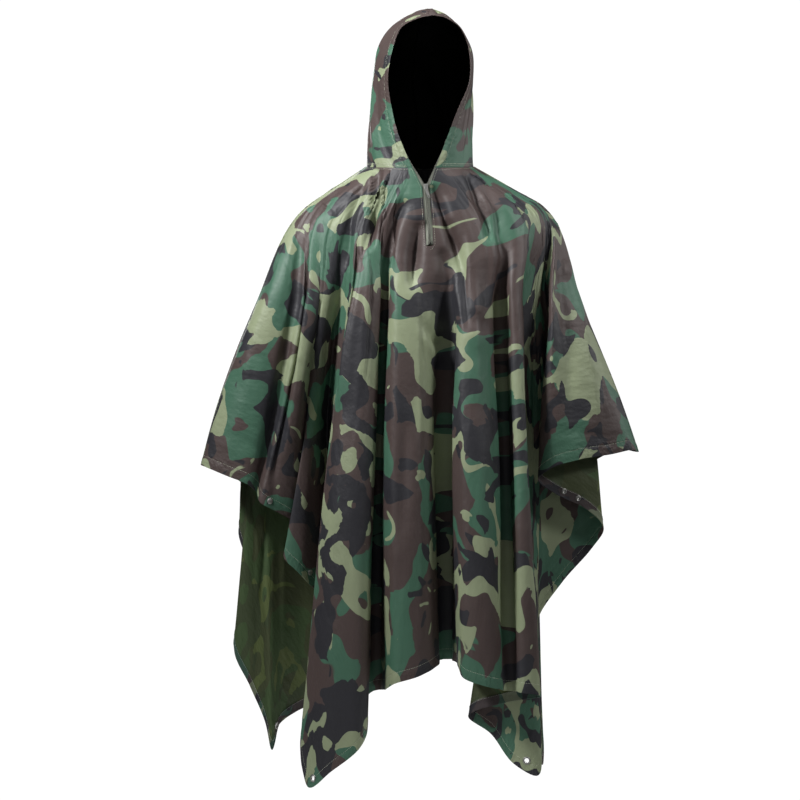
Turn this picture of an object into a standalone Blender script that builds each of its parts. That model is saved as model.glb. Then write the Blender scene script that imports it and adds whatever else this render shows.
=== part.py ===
"""Hooded rain poncho of coated cloth, as it hangs on a general figure with the arms a little out.

Lengths in the tables and constants are millimetres: X to the right as seen from the front, Y from
front to back, Z up. Left and right are as seen from the front. The origin is the middle of the
neck opening, at the height of the hood seam. Every object is made in metres.
"""
import math
from collections import namedtuple

import bmesh
import bpy
import numpy as np
from mathutils import Matrix, Vector

MM = 0.001

# Cloth and seams
WALL = 1.8                  # thickness of the coated cloth with its hems
SEAM_GAP = 0.5              # between the edges of two pieces that are sewn together
SHOULDER_GAP = 1.1          # the same along the arms, where the walls lean towards each other
PANEL_ROWS = 14             # mesh rows from neck to hem
PANEL_CELL = 30.0           # widest mesh cell across a panel
THIN_LIMIT = 0.6            # how far the wall may thin out on a sharp crease
HOOD_ROWS = 14
HOOD_COLUMNS = 11

# Neck opening, an oval ring that dips towards the front
NECK_HALF_WIDTH = 106.0
NECK_HALF_DEPTH = 102.0
NECK_CENTRE_Y = -10.0
NECK_CENTRE_Z = -2.0
NECK_DIP = 12.0
NECK_STEP_OUT = 1.4         # the panels' neck edge lies this far outside the hood's
NECK_STEP_DOWN = 1.0
NECK_TWIST = 3.0            # degrees that hood and zip are turned to the wearer's left

# Shoulders of the general figure, as the ring that the cloth hangs over
YOKE_CENTRE_X = 10.0
YOKE_HALF_WIDTH = 232.0
YOKE_FRONT = 125.0
YOKE_BACK = 118.0
YOKE_Z = -78.0
YOKE_FRONT_DROP = 22.0
YOKE_BACK_RISE = 12.0

# Cross-sections of the general figure under the cloth
CHEST_Z = -270.0
CHEST_HALF_WIDTH = 335.0
CHEST_FRONT = 150.0
CHEST_BACK = 128.0
STRAIGHT_SHARE = 0.7        # share of the way from neck to yoke that runs straight
CHEST_SHARE = 0.5           # share of the way from yoke to waist at chest height
CHEST_FOLD_SHARE = 0.4      # share of a fold's depth that is left at chest height
WAIST_Z = -500.0
WAIST_HALF_WIDTH = 418.0
WAIST_FRONT = 165.0
WAIST_BACK = 140.0

# Each row is the line of a crest, a flank or a valley, from the neck to the hem. yoke_deg is its
# place on the shoulder ring: 180 left arm, 270 front, 360 right arm. The waist is at WAIST_Z. Lines
# of a fold whose layers overlap also have their own place (x, y) at chest height.
Fold = namedtuple("Fold", "name yoke_deg waist_x waist_y hem_x hem_y hem_z chest", defaults=[None])

LEFT_SLEEVE_FRONT = [
    Fold("arm_line", 180, -412, 0, -438, 0, -598, (-325, 0)),
    Fold("arm_front", 185, -402, -48, -429, -50, -599),
    Fold("sleeve_face", 191, -361, -80, -382, -78, -617),
    Fold("sleeve_edge", 197, -306, -82, -335, -78, -637),
    Fold("shoulder_crease", 200, -290, -70, -325, -64, -648),
    Fold("shoulder_crest", 204, -276, -99, -313, -93, -670),
    Fold("lobe_middle", 209, -256, -101, -287, -86, -685),
    Fold("lobe_side", 214, -237, -98, -254, -70, -705),
    Fold("tuck", 219, -226, -80, -231, -52, -733),
    Fold("flap_edge", 223, -220, -91, -268, -88, -776),
    Fold("flap_middle", 226, -208, -84, -240, -90, -806),
    Fold("flap_side", 229, -197, -62, -206, -62, -844),
]

FRONT_SKIRT = [
    Fold("hidden_valley", 233, -183, -36, -164, -12, -890),
    Fold("fold_a_back", 237, -166, -88, -190, -62, -955),
    Fold("fold_a_side", 240, -170, -128, -219, -112, -1040),
    Fold("fold_a_edge", 242, -164, -145, -231, -132, -1176),
    Fold("front_left_corner", 244, -154, -158, -218, -152, -1217),
    Fold("fold_a_middle", 246, -124, -173, -171, -185, -1181),
    Fold("fold_a_front", 248, -99, -166, -121, -185, -1141),
    Fold("fold_a_right", 250, -86, -146, -106, -158, -1117),
    Fold("valley_ab_left", 251.5, -83, -113, -98, -96, -1050),
    Fold("valley_ab", 253, -74, -98, -82, -76, -1041),
    Fold("fold_b_left", 255, -64, -146, -67, -142, -1029),
    Fold("fold_b_front", 258, -46, -177, -46, -193, -1011),
    Fold("fold_b_middle", 263.5, -8, -172, -8, -192, -1000),
    Fold("zip_line", 271, 28, -155, 30, -158, -985),
    Fold("valley_bc", 279, 55, -125, 56, -104, -977),
    Fold("fold_c_left", 285, 67, -152, 73, -150, -979),
    Fold("fold_c_front", 290, 83, -181, 82, -197, -1001),
    Fold("fold_c_middle", 295, 117, -183, 121, -206, -1015),
    Fold("fold_c_right", 300, 153, -158, 164, -192, -1025),
    Fold("valley_cd", 308, 170, -106, 180, -176, -1028),
    Fold("fold_d_left", 313, 182, -141, 196, -186, -1031),
    Fold("fold_d_right", 318, 199, -144, 224, -174, -1036),
    Fold("fold_d_turn", 321, 204, -119, 231, -150, -1043),
    Fold("under_layer", 323.5, 192, -94, 164, -138, -1056),
    Fold("under_turn", 326, 180, -74, 93, -122, -1085),
    Fold("corner_layer_left", 328, 190, -60, 136, -107, -1119),
    Fold("corner_layer_middle", 330, 202, -54, 184, -110, -1180),
    Fold("front_right_corner", 332, 212, -50, 226, -112, -1202),
    Fold("side_hem_low", 334, 221, -46, 237, -86, -1126),
    Fold("side_hem_middle", 336, 232, -42, 234, -62, -1021),
]

RIGHT_SLEEVE_FRONT = [
    Fold("side_hem_high", 338, 247, -38, 228, -46, -914),
    Fold("rear_layer_middle", 340, 280, -30, 282, -30, -830, (240, -50)),
    Fold("rear_layer_right", 342, 318, -26, 342, -27, -762, (246, -45)),
    Fold("rear_turn", 344, 338, -40, 364, -43, -724, (250, -48)),
    Fold("inner_layer", 346, 304, -60, 325, -63, -681, (255, -62)),
    Fold("inner_layer_left", 348, 262, -76, 267, -78, -653, (254, -76)),
    Fold("sleeve_turn", 350, 236, -94, 231, -94, -623, (252, -89)),
    Fold("sleeve_left", 352, 250, -110, 253, -107, -603, (258, -99)),
    Fold("sleeve_middle", 354, 297, -103, 309, -99, -585),
    Fold("sleeve_face", 356, 361, -68, 378, -64, -575),
    Fold("arm_front", 358, 393, -38, 421, -34, -567),
    Fold("arm_line", 360, 412, 0, 436, 0, -572, (320, 0)),
]

BACK = [
    Fold("arm_line", 180, -412, 0, -438, 0, -598, (-325, 0)),
    Fold("arm_back", 176, -403, 46, -428, 52, -604),
    Fold("sleeve_back", 171, -374, 90, -384, 106, -622),
    Fold("sleeve_turn", 166, -336, 114, -340, 132, -672, (-284, 85)),
    Fold("strip_edge", 161, -352, 86, -369, 88, -738, (-277, 74)),
    Fold("strip_middle", 157, -336, 82, -352, 82, -788, (-268, 75)),
    Fold("strip_turn", 153, -312, 78, -316, 80, -844, (-257, 81)),
    Fold("inner_face_back", 149, -322, 60, -357, 62, -906, (-250, 70)),
    Fold("inner_face_edge", 146, -320, 44, -376, 46, -968, (-244, 64)),
    Fold("side_hem", 143.5, -303, 47, -343, 46, -1046),
    Fold("side_hem_low", 142, -288, 53, -313, 51, -1118),
    Fold("back_left_corner", 140, -275, 58, -299, 54, -1176),
    Fold("inner_face_middle", 136, -250, 75, -285, 74, -1127),
    Fold("inner_face_right", 131, -215, 95, -252, 96, -1104),
    Fold("valley_left", 125, -180, 108, -214, 112, -1088),
    Fold("crest_1", 118, -143, 164, -166, 224, -1062),
    Fold("valley_1", 111, -106, 108, -121, 98, -1030),
    Fold("crest_2", 104, -66, 182, -76, 238, -1004),
    Fold("crest_2_side", 98, -34, 166, -38, 212, -990),
    Fold("valley_2", 92, 0, 110, 2, 98, -984),
    Fold("crest_3", 86, 34, 178, 40, 234, -984),
    Fold("crest_3_side", 80, 70, 164, 82, 212, -995),
    Fold("valley_3", 73, 104, 108, 114, 96, -1012),
    Fold("crest_4", 66, 139, 162, 154, 216, -1042),
    Fold("valley_4", 58, 166, 104, 182, 94, -1082),
    Fold("crest_5", 50, 195, 134, 214, 158, -1132),
    Fold("back_right_corner", 43, 216, 96, 250, 92, -1212),
    Fold("side_hem_low", 37, 232, 76, 245, 70, -1077),
    Fold("side_hem_middle", 31, 246, 64, 231, 56, -922),
    Fold("side_hem_high", 25, 280, 61, 252, 49, -824),
    Fold("sleeve_inside", 18, 322, 70, 318, 58, -711),
    Fold("sleeve_back", 11, 352, 82, 346, 82, -600),
    Fold("arm_back", 5, 392, 54, 400, 56, -570),
    Fold("arm_line", 0, 412, 0, 436, 0, -572, (320, 0)),
]

# Hood sections, from the neck seam to the top of the face opening: half the opening, the widest
# half width, where the centre seam runs behind, and how far the section is turned and leans over.
HoodSection = namedtuple(
    "HoodSection", "name face_x face_y face_z seam_y seam_z side_w turn_deg lean_x",
)
HOOD = [
    HoodSection("neck", 23, -110, -13, 92, 9, 106, 3, 0),
    HoodSection("chin", 47, -100, 48, 113, 64, 104, 3, 0),
    HoodSection("cheek", 64, -90, 102, 124, 120, 102, 4, 2),
    HoodSection("eyes", 81, -82, 162, 121, 186, 98, 9, 4),
    HoodSection("temple", 77, -80, 218, 96, 246, 92, 10, 7),
    HoodSection("brow", 60, -80, 262, 48, 288, 66, 10, 7),
    HoodSection("forehead", 28, -79, 282, -12, 308, 34, 10, 10),
    HoodSection("top", 2, -78, 288, -62, 304, 4, 10, 12),
]
HOOD_BLEND = 0.16           # share of the hood's height over which it leaves the neck ring

# Neck zip, placed by height on the zip line of the front panel
ZIP_BOTTOM_Z = -166.0
ZIP_SLIDER_Z = -52.0
ZIP_HALF_SLIT = 7.5         # cloth edge to middle of the closed chain
ZIP_END_SLOPE = 3.0         # length of cloth below the zip in which the slit closes
ZIP_TOP_HALF = 23.0         # cloth edge to middle of the opening, at the neck seam
ZIP_HOOD_ROWS = 2           # mesh rows that the zip runs up the hood's edge
ZIP_SPREAD = 170.0          # width of cloth that the open zip pushes aside
TAPE_UNDER = 7.0            # tape width under the cloth
TAPE_THICK = 1.0
TAPE_DEPTH = WALL / 2 + 0.6 + TAPE_THICK / 2
TEETH_NEAR = 0.2            # inner edge of a tooth row to the middle
TEETH_WIDTH = 2.3
TEETH_THICK = 2.0
PIECE_GAP = 0.35

# Slider and pull tab
SLIDER_WIDTH = 9.0
SLIDER_LENGTH = 11.0
SLIDER_PLATE = 1.1
SLIDER_CHANNEL = 3.0        # inside height between the two plates
SLIDER_POST = (2.0, 2.4)    # divider between the tooth rows, across and along
BRIDGE_WIDTH = 1.8
BRIDGE_LEG = 1.0
BRIDGE_SPAN = 5.0           # clear length under the bridge
BRIDGE_CLEAR = 2.6          # clear height under the bridge
BRIDGE_BAR = 1.0
PULL_WIDTH = 5.0
PULL_LENGTH = 23.0
PULL_THICK = 1.1
PULL_RAIL = 1.1
PULL_TILT = 16.0            # degrees that the tab hangs to the right of the zip line
STOP_SIZE = (6.0, 1.2, 3.4)
STOP_RISE = 1.0             # from the lower end of the slit to the stop

# Eyelets at the four corners, and press studs along the side hems
EYELET_HOLE = 4.5
EYELET_BARREL = 5.3
EYELET_FLANGE = 7.6
EYELET_FLANGE_THICK = 0.7
EYELET_CLEAR = 0.35
EYELET_CLOTH_HOLE = 5.8
STUD_RADIUS = 5.8
STUD_POST = 1.6
STUD_SOCKET = 2.4
STUD_DOME = 1.6
STUD_RIM = 0.9
STUD_CLEAR = 0.3
TURNED_STEPS = 20

CLOTH_GREEN = (0.16, 0.20, 0.13, 1.0)
CLOTH_HOOD = (0.20, 0.20, 0.15, 1.0)
TAPE_OLIVE = (0.17, 0.18, 0.12, 1.0)
METAL_GREY = (0.55, 0.55, 0.52, 1.0)
METAL_DARK = (0.05, 0.05, 0.05, 1.0)


def curve_through(knots, points, at):
    """Smooth cubic curve through points at rising knots, read at the given places."""
    knots = np.asarray(knots, float)
    points = np.asarray(points, float)
    at = np.atleast_1d(np.asarray(at, float))
    gaps = np.diff(knots)
    slopes = np.diff(points, axis=0) / gaps.reshape(-1, *[1] * (points.ndim - 1))
    weights = gaps.reshape(-1, *[1] * (points.ndim - 1))
    middle = (weights[1:] * slopes[:-1] + weights[:-1] * slopes[1:]) / (weights[1:] + weights[:-1])
    tangents = np.concatenate([slopes[:1], middle, slopes[-1:]])
    index = np.clip(np.searchsorted(knots, at, side="right") - 1, 0, len(gaps) - 1)
    shape = (-1, *[1] * (points.ndim - 1))
    gap = gaps[index].reshape(shape)
    t = ((at - knots[index]) / gaps[index]).reshape(shape)
    low, high = points[index], points[index + 1]
    return (
        (1 + 2 * t) * (1 - t) ** 2 * low
        + t * (1 - t) ** 2 * gap * tangents[index]
        + t**2 * (3 - 2 * t) * high
        + t**2 * (t - 1) * gap * tangents[index + 1]
    )


def smooth_step(x):
    x = np.clip(x, 0.0, 1.0)
    return x * x * (3 - 2 * x)


def unit(v):
    return v / np.linalg.norm(v)


def on_neck(deg):
    """Point of the neck ring. 180 is the wearer's right, at the viewer's left, and 270 the front."""
    a = math.radians(deg)
    return np.array([
        NECK_HALF_WIDTH * math.cos(a),
        NECK_CENTRE_Y + NECK_HALF_DEPTH * math.sin(a),
        NECK_CENTRE_Z + NECK_DIP * math.sin(a),
    ])


def twisted(deg):
    """Neck angle of a fold line: the hood's turn carries the front and back round, not the sides."""
    return deg + NECK_TWIST * abs(math.sin(math.radians(deg)))


def panel_neck(deg):
    """Neck edge of the panels, a step outside and below the hood's edge."""
    a = math.radians(deg)
    out = np.array([math.cos(a) * NECK_STEP_OUT, math.sin(a) * NECK_STEP_OUT, -NECK_STEP_DOWN])
    return on_neck(deg) + out


def on_yoke(deg):
    """Point of the shoulder ring."""
    a = math.radians(deg)
    back = math.sin(a) > 0
    depth = YOKE_BACK if back else YOKE_FRONT
    lift = YOKE_BACK_RISE if back else -YOKE_FRONT_DROP
    return np.array([
        YOKE_CENTRE_X + YOKE_HALF_WIDTH * math.cos(a),
        depth * math.sin(a),
        YOKE_Z + lift * abs(math.sin(a)),
    ])


def figure_y(x, half_width, front, back, is_back):
    """Depth of the general figure's oval section at x, negative in front."""
    share = math.sqrt(max(0.0, 1.0 - (x / half_width) ** 2))
    return back * share if is_back else -front * share


def fold_stations(fold):
    """The points that a fold line runs through: neck, slope, yoke, chest, waist and hem."""
    is_back = fold.yoke_deg < 180
    yoke = on_yoke(fold.yoke_deg)
    chest_x = yoke[0] + (fold.waist_x - yoke[0]) * CHEST_SHARE
    waist_body = figure_y(fold.waist_x, WAIST_HALF_WIDTH, WAIST_FRONT, WAIST_BACK, is_back)
    chest_body = figure_y(chest_x, CHEST_HALF_WIDTH, CHEST_FRONT, CHEST_BACK, is_back)
    chest_y = chest_body + (fold.waist_y - waist_body) * CHEST_FOLD_SHARE
    if abs(fold.waist_y) < 1:
        chest_y = 0.0
    if fold.chest:
        chest_x, chest_y = fold.chest
    neck = panel_neck(twisted(fold.yoke_deg))
    return np.array([
        neck,
        neck + (yoke - neck) * STRAIGHT_SHARE,
        yoke,
        (chest_x, chest_y, CHEST_Z),
        (fold.waist_x, fold.waist_y, WAIST_Z),
        (fold.hem_x, fold.hem_y, fold.hem_z),
    ])


def fold_line(fold, samples=61):
    """The fold line as evenly spaced points from neck to hem."""
    stations = fold_stations(fold)
    knots = np.concatenate([[0], np.cumsum(np.linalg.norm(np.diff(stations, axis=0), axis=1))])
    dense = curve_through(knots, stations, np.linspace(0, knots[-1], 4 * samples))
    length = np.concatenate([[0], np.cumsum(np.linalg.norm(np.diff(dense, axis=0), axis=1))])
    even = np.linspace(0, length[-1], samples)
    return np.stack([np.interp(even, length, dense[:, k]) for k in range(3)], axis=1)


class Panel:
    """A cut piece as a smooth surface: u runs across the fold lines, v from neck 0 to hem 1."""

    def __init__(self, folds, seam_shift=0.0):
        self.folds = folds
        self.lines = np.array([fold_line(fold) for fold in folds])
        for end in (0, -1):
            self.lines[end][:, 1] += seam_shift
        steps = np.linalg.norm(np.diff(self.lines, axis=0), axis=2)
        self.knots = np.concatenate([[0], np.cumsum(0.5 * (steps.mean(axis=1) + steps[:, -1]))])
        self.stations = np.linspace(0, 1, self.lines.shape[1])

    def place(self, name):
        """The u of a named fold line."""
        return self.knots[[fold.name for fold in self.folds].index(name)]

    def line_at(self, v):
        """The point of every fold line at one v."""
        spot = np.clip(v, 0, 1) * (len(self.stations) - 1)
        low = min(int(spot), len(self.stations) - 2)
        return self.lines[:, low] + (self.lines[:, low + 1] - self.lines[:, low]) * (spot - low)

    def points(self, us, v):
        """Points at several u and one v, in millimetres."""
        return curve_through(self.knots, self.line_at(v), us)

    def point(self, u, v):
        return self.points([u], v)[0]

    def columns(self, cell, first=0, last=None):
        """Values of u with every fold line in them, no further apart than about one cell."""
        last = len(self.knots) - 1 if last is None else last
        found = [self.knots[first]]
        for low, high in zip(self.knots[first:last], self.knots[first + 1:last + 1]):
            pieces = max(1, round((high - low) / cell))
            found += [low + (high - low) * (k + 1) / pieces for k in range(pieces)]
        return np.array(found)


FRONT_PANEL = Panel(LEFT_SLEEVE_FRONT + FRONT_SKIRT + RIGHT_SLEEVE_FRONT, -SHOULDER_GAP / 2)
BACK_PANEL = Panel(BACK, SHOULDER_GAP / 2)
ZIP_U = FRONT_PANEL.place("zip_line")


def zip_v(z):
    """The v of the zip line at one height."""
    line = FRONT_PANEL.lines[FRONT_PANEL.knots.tolist().index(ZIP_U)]
    return float(np.interp(-z, -line[:, 2], FRONT_PANEL.stations))


ZIP_BOTTOM_V = zip_v(ZIP_BOTTOM_Z)
ZIP_CLOSED_V = zip_v(ZIP_BOTTOM_Z - ZIP_END_SLOPE)
ZIP_SLIDER_V = zip_v(ZIP_SLIDER_Z)


def half_slit(v):
    """Distance from the zip's middle line to the edge of the cloth."""
    if v > ZIP_BOTTOM_V + 1e-6:
        return 0.0
    if v > ZIP_SLIDER_V:
        return ZIP_HALF_SLIT
    return ZIP_HALF_SLIT + (ZIP_TOP_HALF - ZIP_HALF_SLIT) * (1 - v / ZIP_SLIDER_V)


def slit_u(v, side):
    """The u of the cloth's zip edge on one side, -1 left and 1 right."""
    wanted = half_slit(v)
    reach = np.linspace(0, ZIP_SPREAD, 60)
    middle = FRONT_PANEL.point(ZIP_U, v)
    far = np.linalg.norm(FRONT_PANEL.points(ZIP_U + side * reach, v) - middle, axis=1)
    return ZIP_U + side * float(np.interp(wanted, far, reach))


def pushed_aside(us, v, side):
    """Moves a half panel's columns away from the open zip, the nearest ones most."""
    gap = abs(slit_u(v, side) - ZIP_U)
    off = np.abs(us - ZIP_U)
    moved = np.where(off < ZIP_SPREAD, gap + off * (1 - gap / ZIP_SPREAD), off)
    return ZIP_U + side * moved


def hood_ring_deg(a, side):
    """Neck angle under the hood's section at a, from the face opening to the centre back."""
    front = twisted(271)
    half = math.degrees(ZIP_TOP_HALF / NECK_HALF_WIDTH)
    start = front + side * half
    end = 90 if side < 0 else 450
    return start + (end - start) * a


def hood_point(s, a, side):
    """Point of one hood half: s from neck seam to the top, a from face opening to centre seam."""
    table = np.array([row[1:] for row in HOOD], float)
    knots = np.linspace(0, 1, len(HOOD))
    section = HoodSection("between", *curve_through(knots, table, [s])[0])
    face_x, face_y, face_z, seam_y, seam_z, side_w, turn_deg, lean_x = section[1:]
    open_angle = math.asin(min(0.999, face_x / side_w))
    angle = open_angle + (math.pi - open_angle) * a
    back_share = (math.cos(open_angle) - math.cos(angle)) / (math.cos(open_angle) + 1)
    x = side * (side_w * math.sin(angle) + SEAM_GAP / 2)
    y = face_y + (seam_y - face_y) * back_share
    z = face_z + (seam_z - face_z) * back_share
    turn = math.radians(turn_deg)
    turned = np.array([
        x * math.cos(turn) - y * math.sin(turn) + lean_x,
        x * math.sin(turn) + y * math.cos(turn),
        z,
    ])
    ring = on_neck(hood_ring_deg(a, side)) + np.array([side * SEAM_GAP / 2, 0, 0])
    return ring + (turned - ring) * smooth_step(s / HOOD_BLEND)


def clear_scene():
    for obj in list(bpy.data.objects):
        bpy.data.objects.remove(obj, do_unlink=True)


def new_collection(name, hidden=False):
    found = bpy.data.collections.new(name)
    bpy.context.scene.collection.children.link(found)
    found.hide_render = hidden
    return found


def new_material(name, colour, roughness, metallic=0.0):
    material = bpy.data.materials.new(name)
    material.use_nodes = True
    shader = material.node_tree.nodes["Principled BSDF"]
    shader.inputs["Base Color"].default_value = colour
    shader.inputs["Roughness"].default_value = roughness
    shader.inputs["Metallic"].default_value = metallic
    material.diffuse_color = colour
    return material


def new_object(name, bm, collection, material):
    mesh = bpy.data.meshes.new(name)
    bm.to_mesh(mesh)
    bm.free()
    obj = bpy.data.objects.new(name, mesh)
    collection.objects.link(obj)
    if material:
        mesh.materials.append(material)
    return obj


def metres(point):
    return Vector([float(c) * MM for c in point])


def sheet_normals(panel, places, rows, facing):
    """Unit normals at rows of u places, halfway between the facets on the two sides of each line."""
    points = np.array([panel.points(us, v) for us, v in zip(places, rows)])
    along = np.array([panel.points(us, v + 0.01) - panel.points(us, v - 0.01)
                      for us, v in zip(places, rows)])
    along /= np.linalg.norm(along, axis=2, keepdims=True)
    steps = np.diff(points, axis=1)
    across = np.zeros_like(points)
    for sides in (np.concatenate([steps[:, :1], steps], axis=1),
                  np.concatenate([steps, steps[:, -1:]], axis=1)):
        square = sides - along * (sides * along).sum(axis=2, keepdims=True)
        across += square / np.linalg.norm(square, axis=2, keepdims=True)
    normals = np.cross(across, along) * facing
    return normals / np.linalg.norm(normals, axis=2, keepdims=True)


def surface_grid(bm, columns, rows, place, outward=None):
    """Adds a grid whose vertex of column i and row j stands at place(i, j)."""
    normals = bm.verts.layers.float_vector.get("outward") if outward else None
    grid = bmesh.ops.create_grid(bm, x_segments=columns, y_segments=rows, size=1.0)
    for vert in grid["verts"]:
        i = round((vert.co.x + 1) / 2 * columns)
        j = round((vert.co.y + 1) / 2 * rows)
        vert.co = metres(place(i, j))
        if normals:
            vert[normals] = Vector(outward(i, j))


def thicken(obj, thickness):
    solid = obj.modifiers.new("wall", "SOLIDIFY")
    solid.thickness = thickness * MM
    solid.offset = 0.0
    solid.use_even_offset = False
    solid.use_rim = True


def walled(sheet, thickness):
    """A closed wall from an open sheet, half of it to each side along the stored normals."""
    bm = sheet.copy()
    bm.normal_update()
    normals = bm.verts.layers.float_vector["outward"]
    rim = [edge.verts[:] for edge in bm.edges if edge.is_boundary]
    offsets = {}
    for vert in bm.verts:
        facing = [abs(face.normal.dot(vert[normals])) for face in vert.link_faces]
        thinning = max(THIN_LIMIT, sum(facing) / len(facing))
        offsets[vert] = vert[normals] * (thickness * MM / 2 / thinning)
    copy = bmesh.ops.duplicate(bm, geom=bm.verts[:] + bm.edges[:] + bm.faces[:])
    inner = copy["vert_map"]
    for vert, offset in offsets.items():
        inner[vert].co = vert.co - offset
        vert.co = vert.co + offset
    for start, end in rim:
        bm.faces.new((start, end, inner[end], inner[start]))
    bmesh.ops.triangulate(bm, faces=[face for face in bm.faces if len(face.verts) > 3])
    bmesh.ops.recalc_face_normals(bm, faces=bm.faces)
    return bm


def front_rows():
    """Rows from neck to hem, with one at the slider and two at the zip's lower end."""
    below = np.linspace(ZIP_CLOSED_V, 1, PANEL_ROWS - 3)[1:]
    fixed = [0, ZIP_SLIDER_V / 2, ZIP_SLIDER_V]
    fixed += [(ZIP_SLIDER_V + ZIP_BOTTOM_V) / 2, ZIP_BOTTOM_V, ZIP_CLOSED_V]
    return np.concatenate([fixed, below])


def back_rows():
    """Rows from neck to hem, closer together over the shoulders."""
    return np.concatenate([[0, 0.035, 0.07, 0.11], np.linspace(0.11, 1, PANEL_ROWS - 2)[1:]])


def turn_outwards(bm, outward):
    """Flips the sheet if its first face doesn't look along outward."""
    bm.normal_update()
    total = sum((face.normal * face.calc_area() for face in bm.faces), Vector())
    if total.dot(outward) < 0:
        bmesh.ops.reverse_faces(bm, faces=bm.faces)


def new_sheet():
    bm = bmesh.new()
    bm.verts.layers.float_vector.new("outward")
    return bm


def front_sheet():
    bm = new_sheet()
    rows = front_rows()
    zip_index = FRONT_PANEL.knots.tolist().index(ZIP_U)
    last = len(FRONT_PANEL.knots) - 1
    for side, first, end in ((-1, 0, zip_index), (1, zip_index, last)):
        columns = FRONT_PANEL.columns(PANEL_CELL, first, end)
        places = [pushed_aside(columns, v, side) for v in rows]
        points = [FRONT_PANEL.points(us, v) for us, v in zip(places, rows)]
        normals = sheet_normals(FRONT_PANEL, places, rows, -1)
        surface_grid(
            bm, len(columns) - 1, len(rows) - 1,
            lambda i, j: points[j][i],
            lambda i, j: normals[j][i],
        )
    bmesh.ops.remove_doubles(bm, verts=bm.verts, dist=0.01 * MM)
    bmesh.ops.triangulate(bm, faces=bm.faces, quad_method="SHORT_EDGE")
    return bm


def back_sheet():
    bm = new_sheet()
    rows = back_rows()
    columns = BACK_PANEL.columns(PANEL_CELL)
    points = [BACK_PANEL.points(columns, v) for v in rows]
    normals = sheet_normals(BACK_PANEL, [columns] * len(rows), rows, 1)
    surface_grid(
        bm, len(columns) - 1, len(rows) - 1,
        lambda i, j: points[j][i],
        lambda i, j: normals[j][i],
    )
    bmesh.ops.triangulate(bm, faces=bm.faces, quad_method="SHORT_EDGE")
    return bm


def hood_mesh(side):
    bm = bmesh.new()
    surface_grid(
        bm, HOOD_COLUMNS, HOOD_ROWS,
        lambda i, j: hood_point(j / HOOD_ROWS, i / HOOD_COLUMNS, side),
    )
    bmesh.ops.triangulate(bm, faces=bm.faces, quad_method="SHORT_EDGE")
    turn_outwards(bm, Vector((side, 0, 0)))
    return bm


def zip_edge_frames(side, closed_flat):
    """Frames along one cloth edge of the zip, bottom to top: edge point, into the cloth, outward.

    With closed_flat the frames of the closed zip look straight across it instead.
    """
    zip_index = FRONT_PANEL.knots.tolist().index(ZIP_U)
    ends = (0, zip_index) if side < 0 else (zip_index, len(FRONT_PANEL.knots) - 1)
    columns = FRONT_PANEL.columns(PANEL_CELL, *ends)
    pair = columns[[-1, -2]] if side < 0 else columns[[0, 1]]
    edges = []
    for v in reversed([v for v in front_rows() if 0 < v <= ZIP_BOTTOM_V + 1e-6]):
        edge, inside = FRONT_PANEL.points(pushed_aside(pair, v, side), v)
        if closed_flat and v > ZIP_SLIDER_V - 1e-6:
            inside = 2 * edge - FRONT_PANEL.point(slit_u(v, -side), v)
        edges.append((edge, inside))
    for j in range(ZIP_HOOD_ROWS + 1):
        s = j / HOOD_ROWS
        edges.append((hood_point(s, 0, side), hood_point(s, 1 / HOOD_COLUMNS, side)))
    frames = []
    for index, (edge, inside) in enumerate(edges):
        below, above = edges[max(0, index - 1)][0], edges[min(len(edges) - 1, index + 1)][0]
        into = unit(inside - edge)
        frames.append((edge, into, unit(np.cross(above - below, into)) * -side))
    return frames


def strip_mesh(side, near, far, closed_flat=False):
    """A strip along the zip edge, between two distances into the cloth, behind the cloth."""
    frames = zip_edge_frames(side, closed_flat)
    bm = bmesh.new()

    def place(i, j):
        edge, into, out = frames[j]
        return edge + into * (near, far)[i] - out * TAPE_DEPTH

    surface_grid(bm, 1, len(frames) - 1, place)
    turn_outwards(bm, Vector((0, -1, 0)))
    return bm


def zip_frame(v):
    """Matrix on the closed chain: X to the right, Y outward, Z up along the zip, in metres."""
    middle = (FRONT_PANEL.point(slit_u(v, -1), v) + FRONT_PANEL.point(slit_u(v, 1), v)) / 2
    right = unit(FRONT_PANEL.point(slit_u(v, 1), v) - FRONT_PANEL.point(slit_u(v, -1), v))
    up = unit(FRONT_PANEL.point(ZIP_U, v - 0.01) - FRONT_PANEL.point(ZIP_U, v + 0.01))
    out = unit(np.cross(right, up))
    up = np.cross(out, right)
    turn = Matrix((right, out, up)).transposed().to_4x4()
    return Matrix.Translation(metres(middle - out * TAPE_DEPTH)) @ turn


def block(bm, centre, size):
    """Adds a box, its centre and size in millimetres."""
    made = bmesh.ops.create_cube(bm, size=1.0)["verts"]
    bmesh.ops.scale(bm, vec=metres(size), verts=made)
    bmesh.ops.translate(bm, vec=metres(centre), verts=made)


def joined(name, blocks, frame, collection, material):
    """One solid from overlapping boxes, placed by a matrix."""
    bm = bmesh.new()
    block(bm, *blocks[0])
    obj = new_object(name, bm, collection, material)
    for index, (centre, size) in enumerate(blocks[1:]):
        extra = bmesh.new()
        block(extra, centre, size)
        tool = new_object(f"{name}_add_{index}", extra, TOOLS, None)
        tool.matrix_world = frame
        tool.display_type = "WIRE"
        tool.hide_render = True
        union = obj.modifiers.new(tool.name, "BOOLEAN")
        union.operation = "UNION"
        union.object = tool
    obj.matrix_world = frame
    return obj


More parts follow.
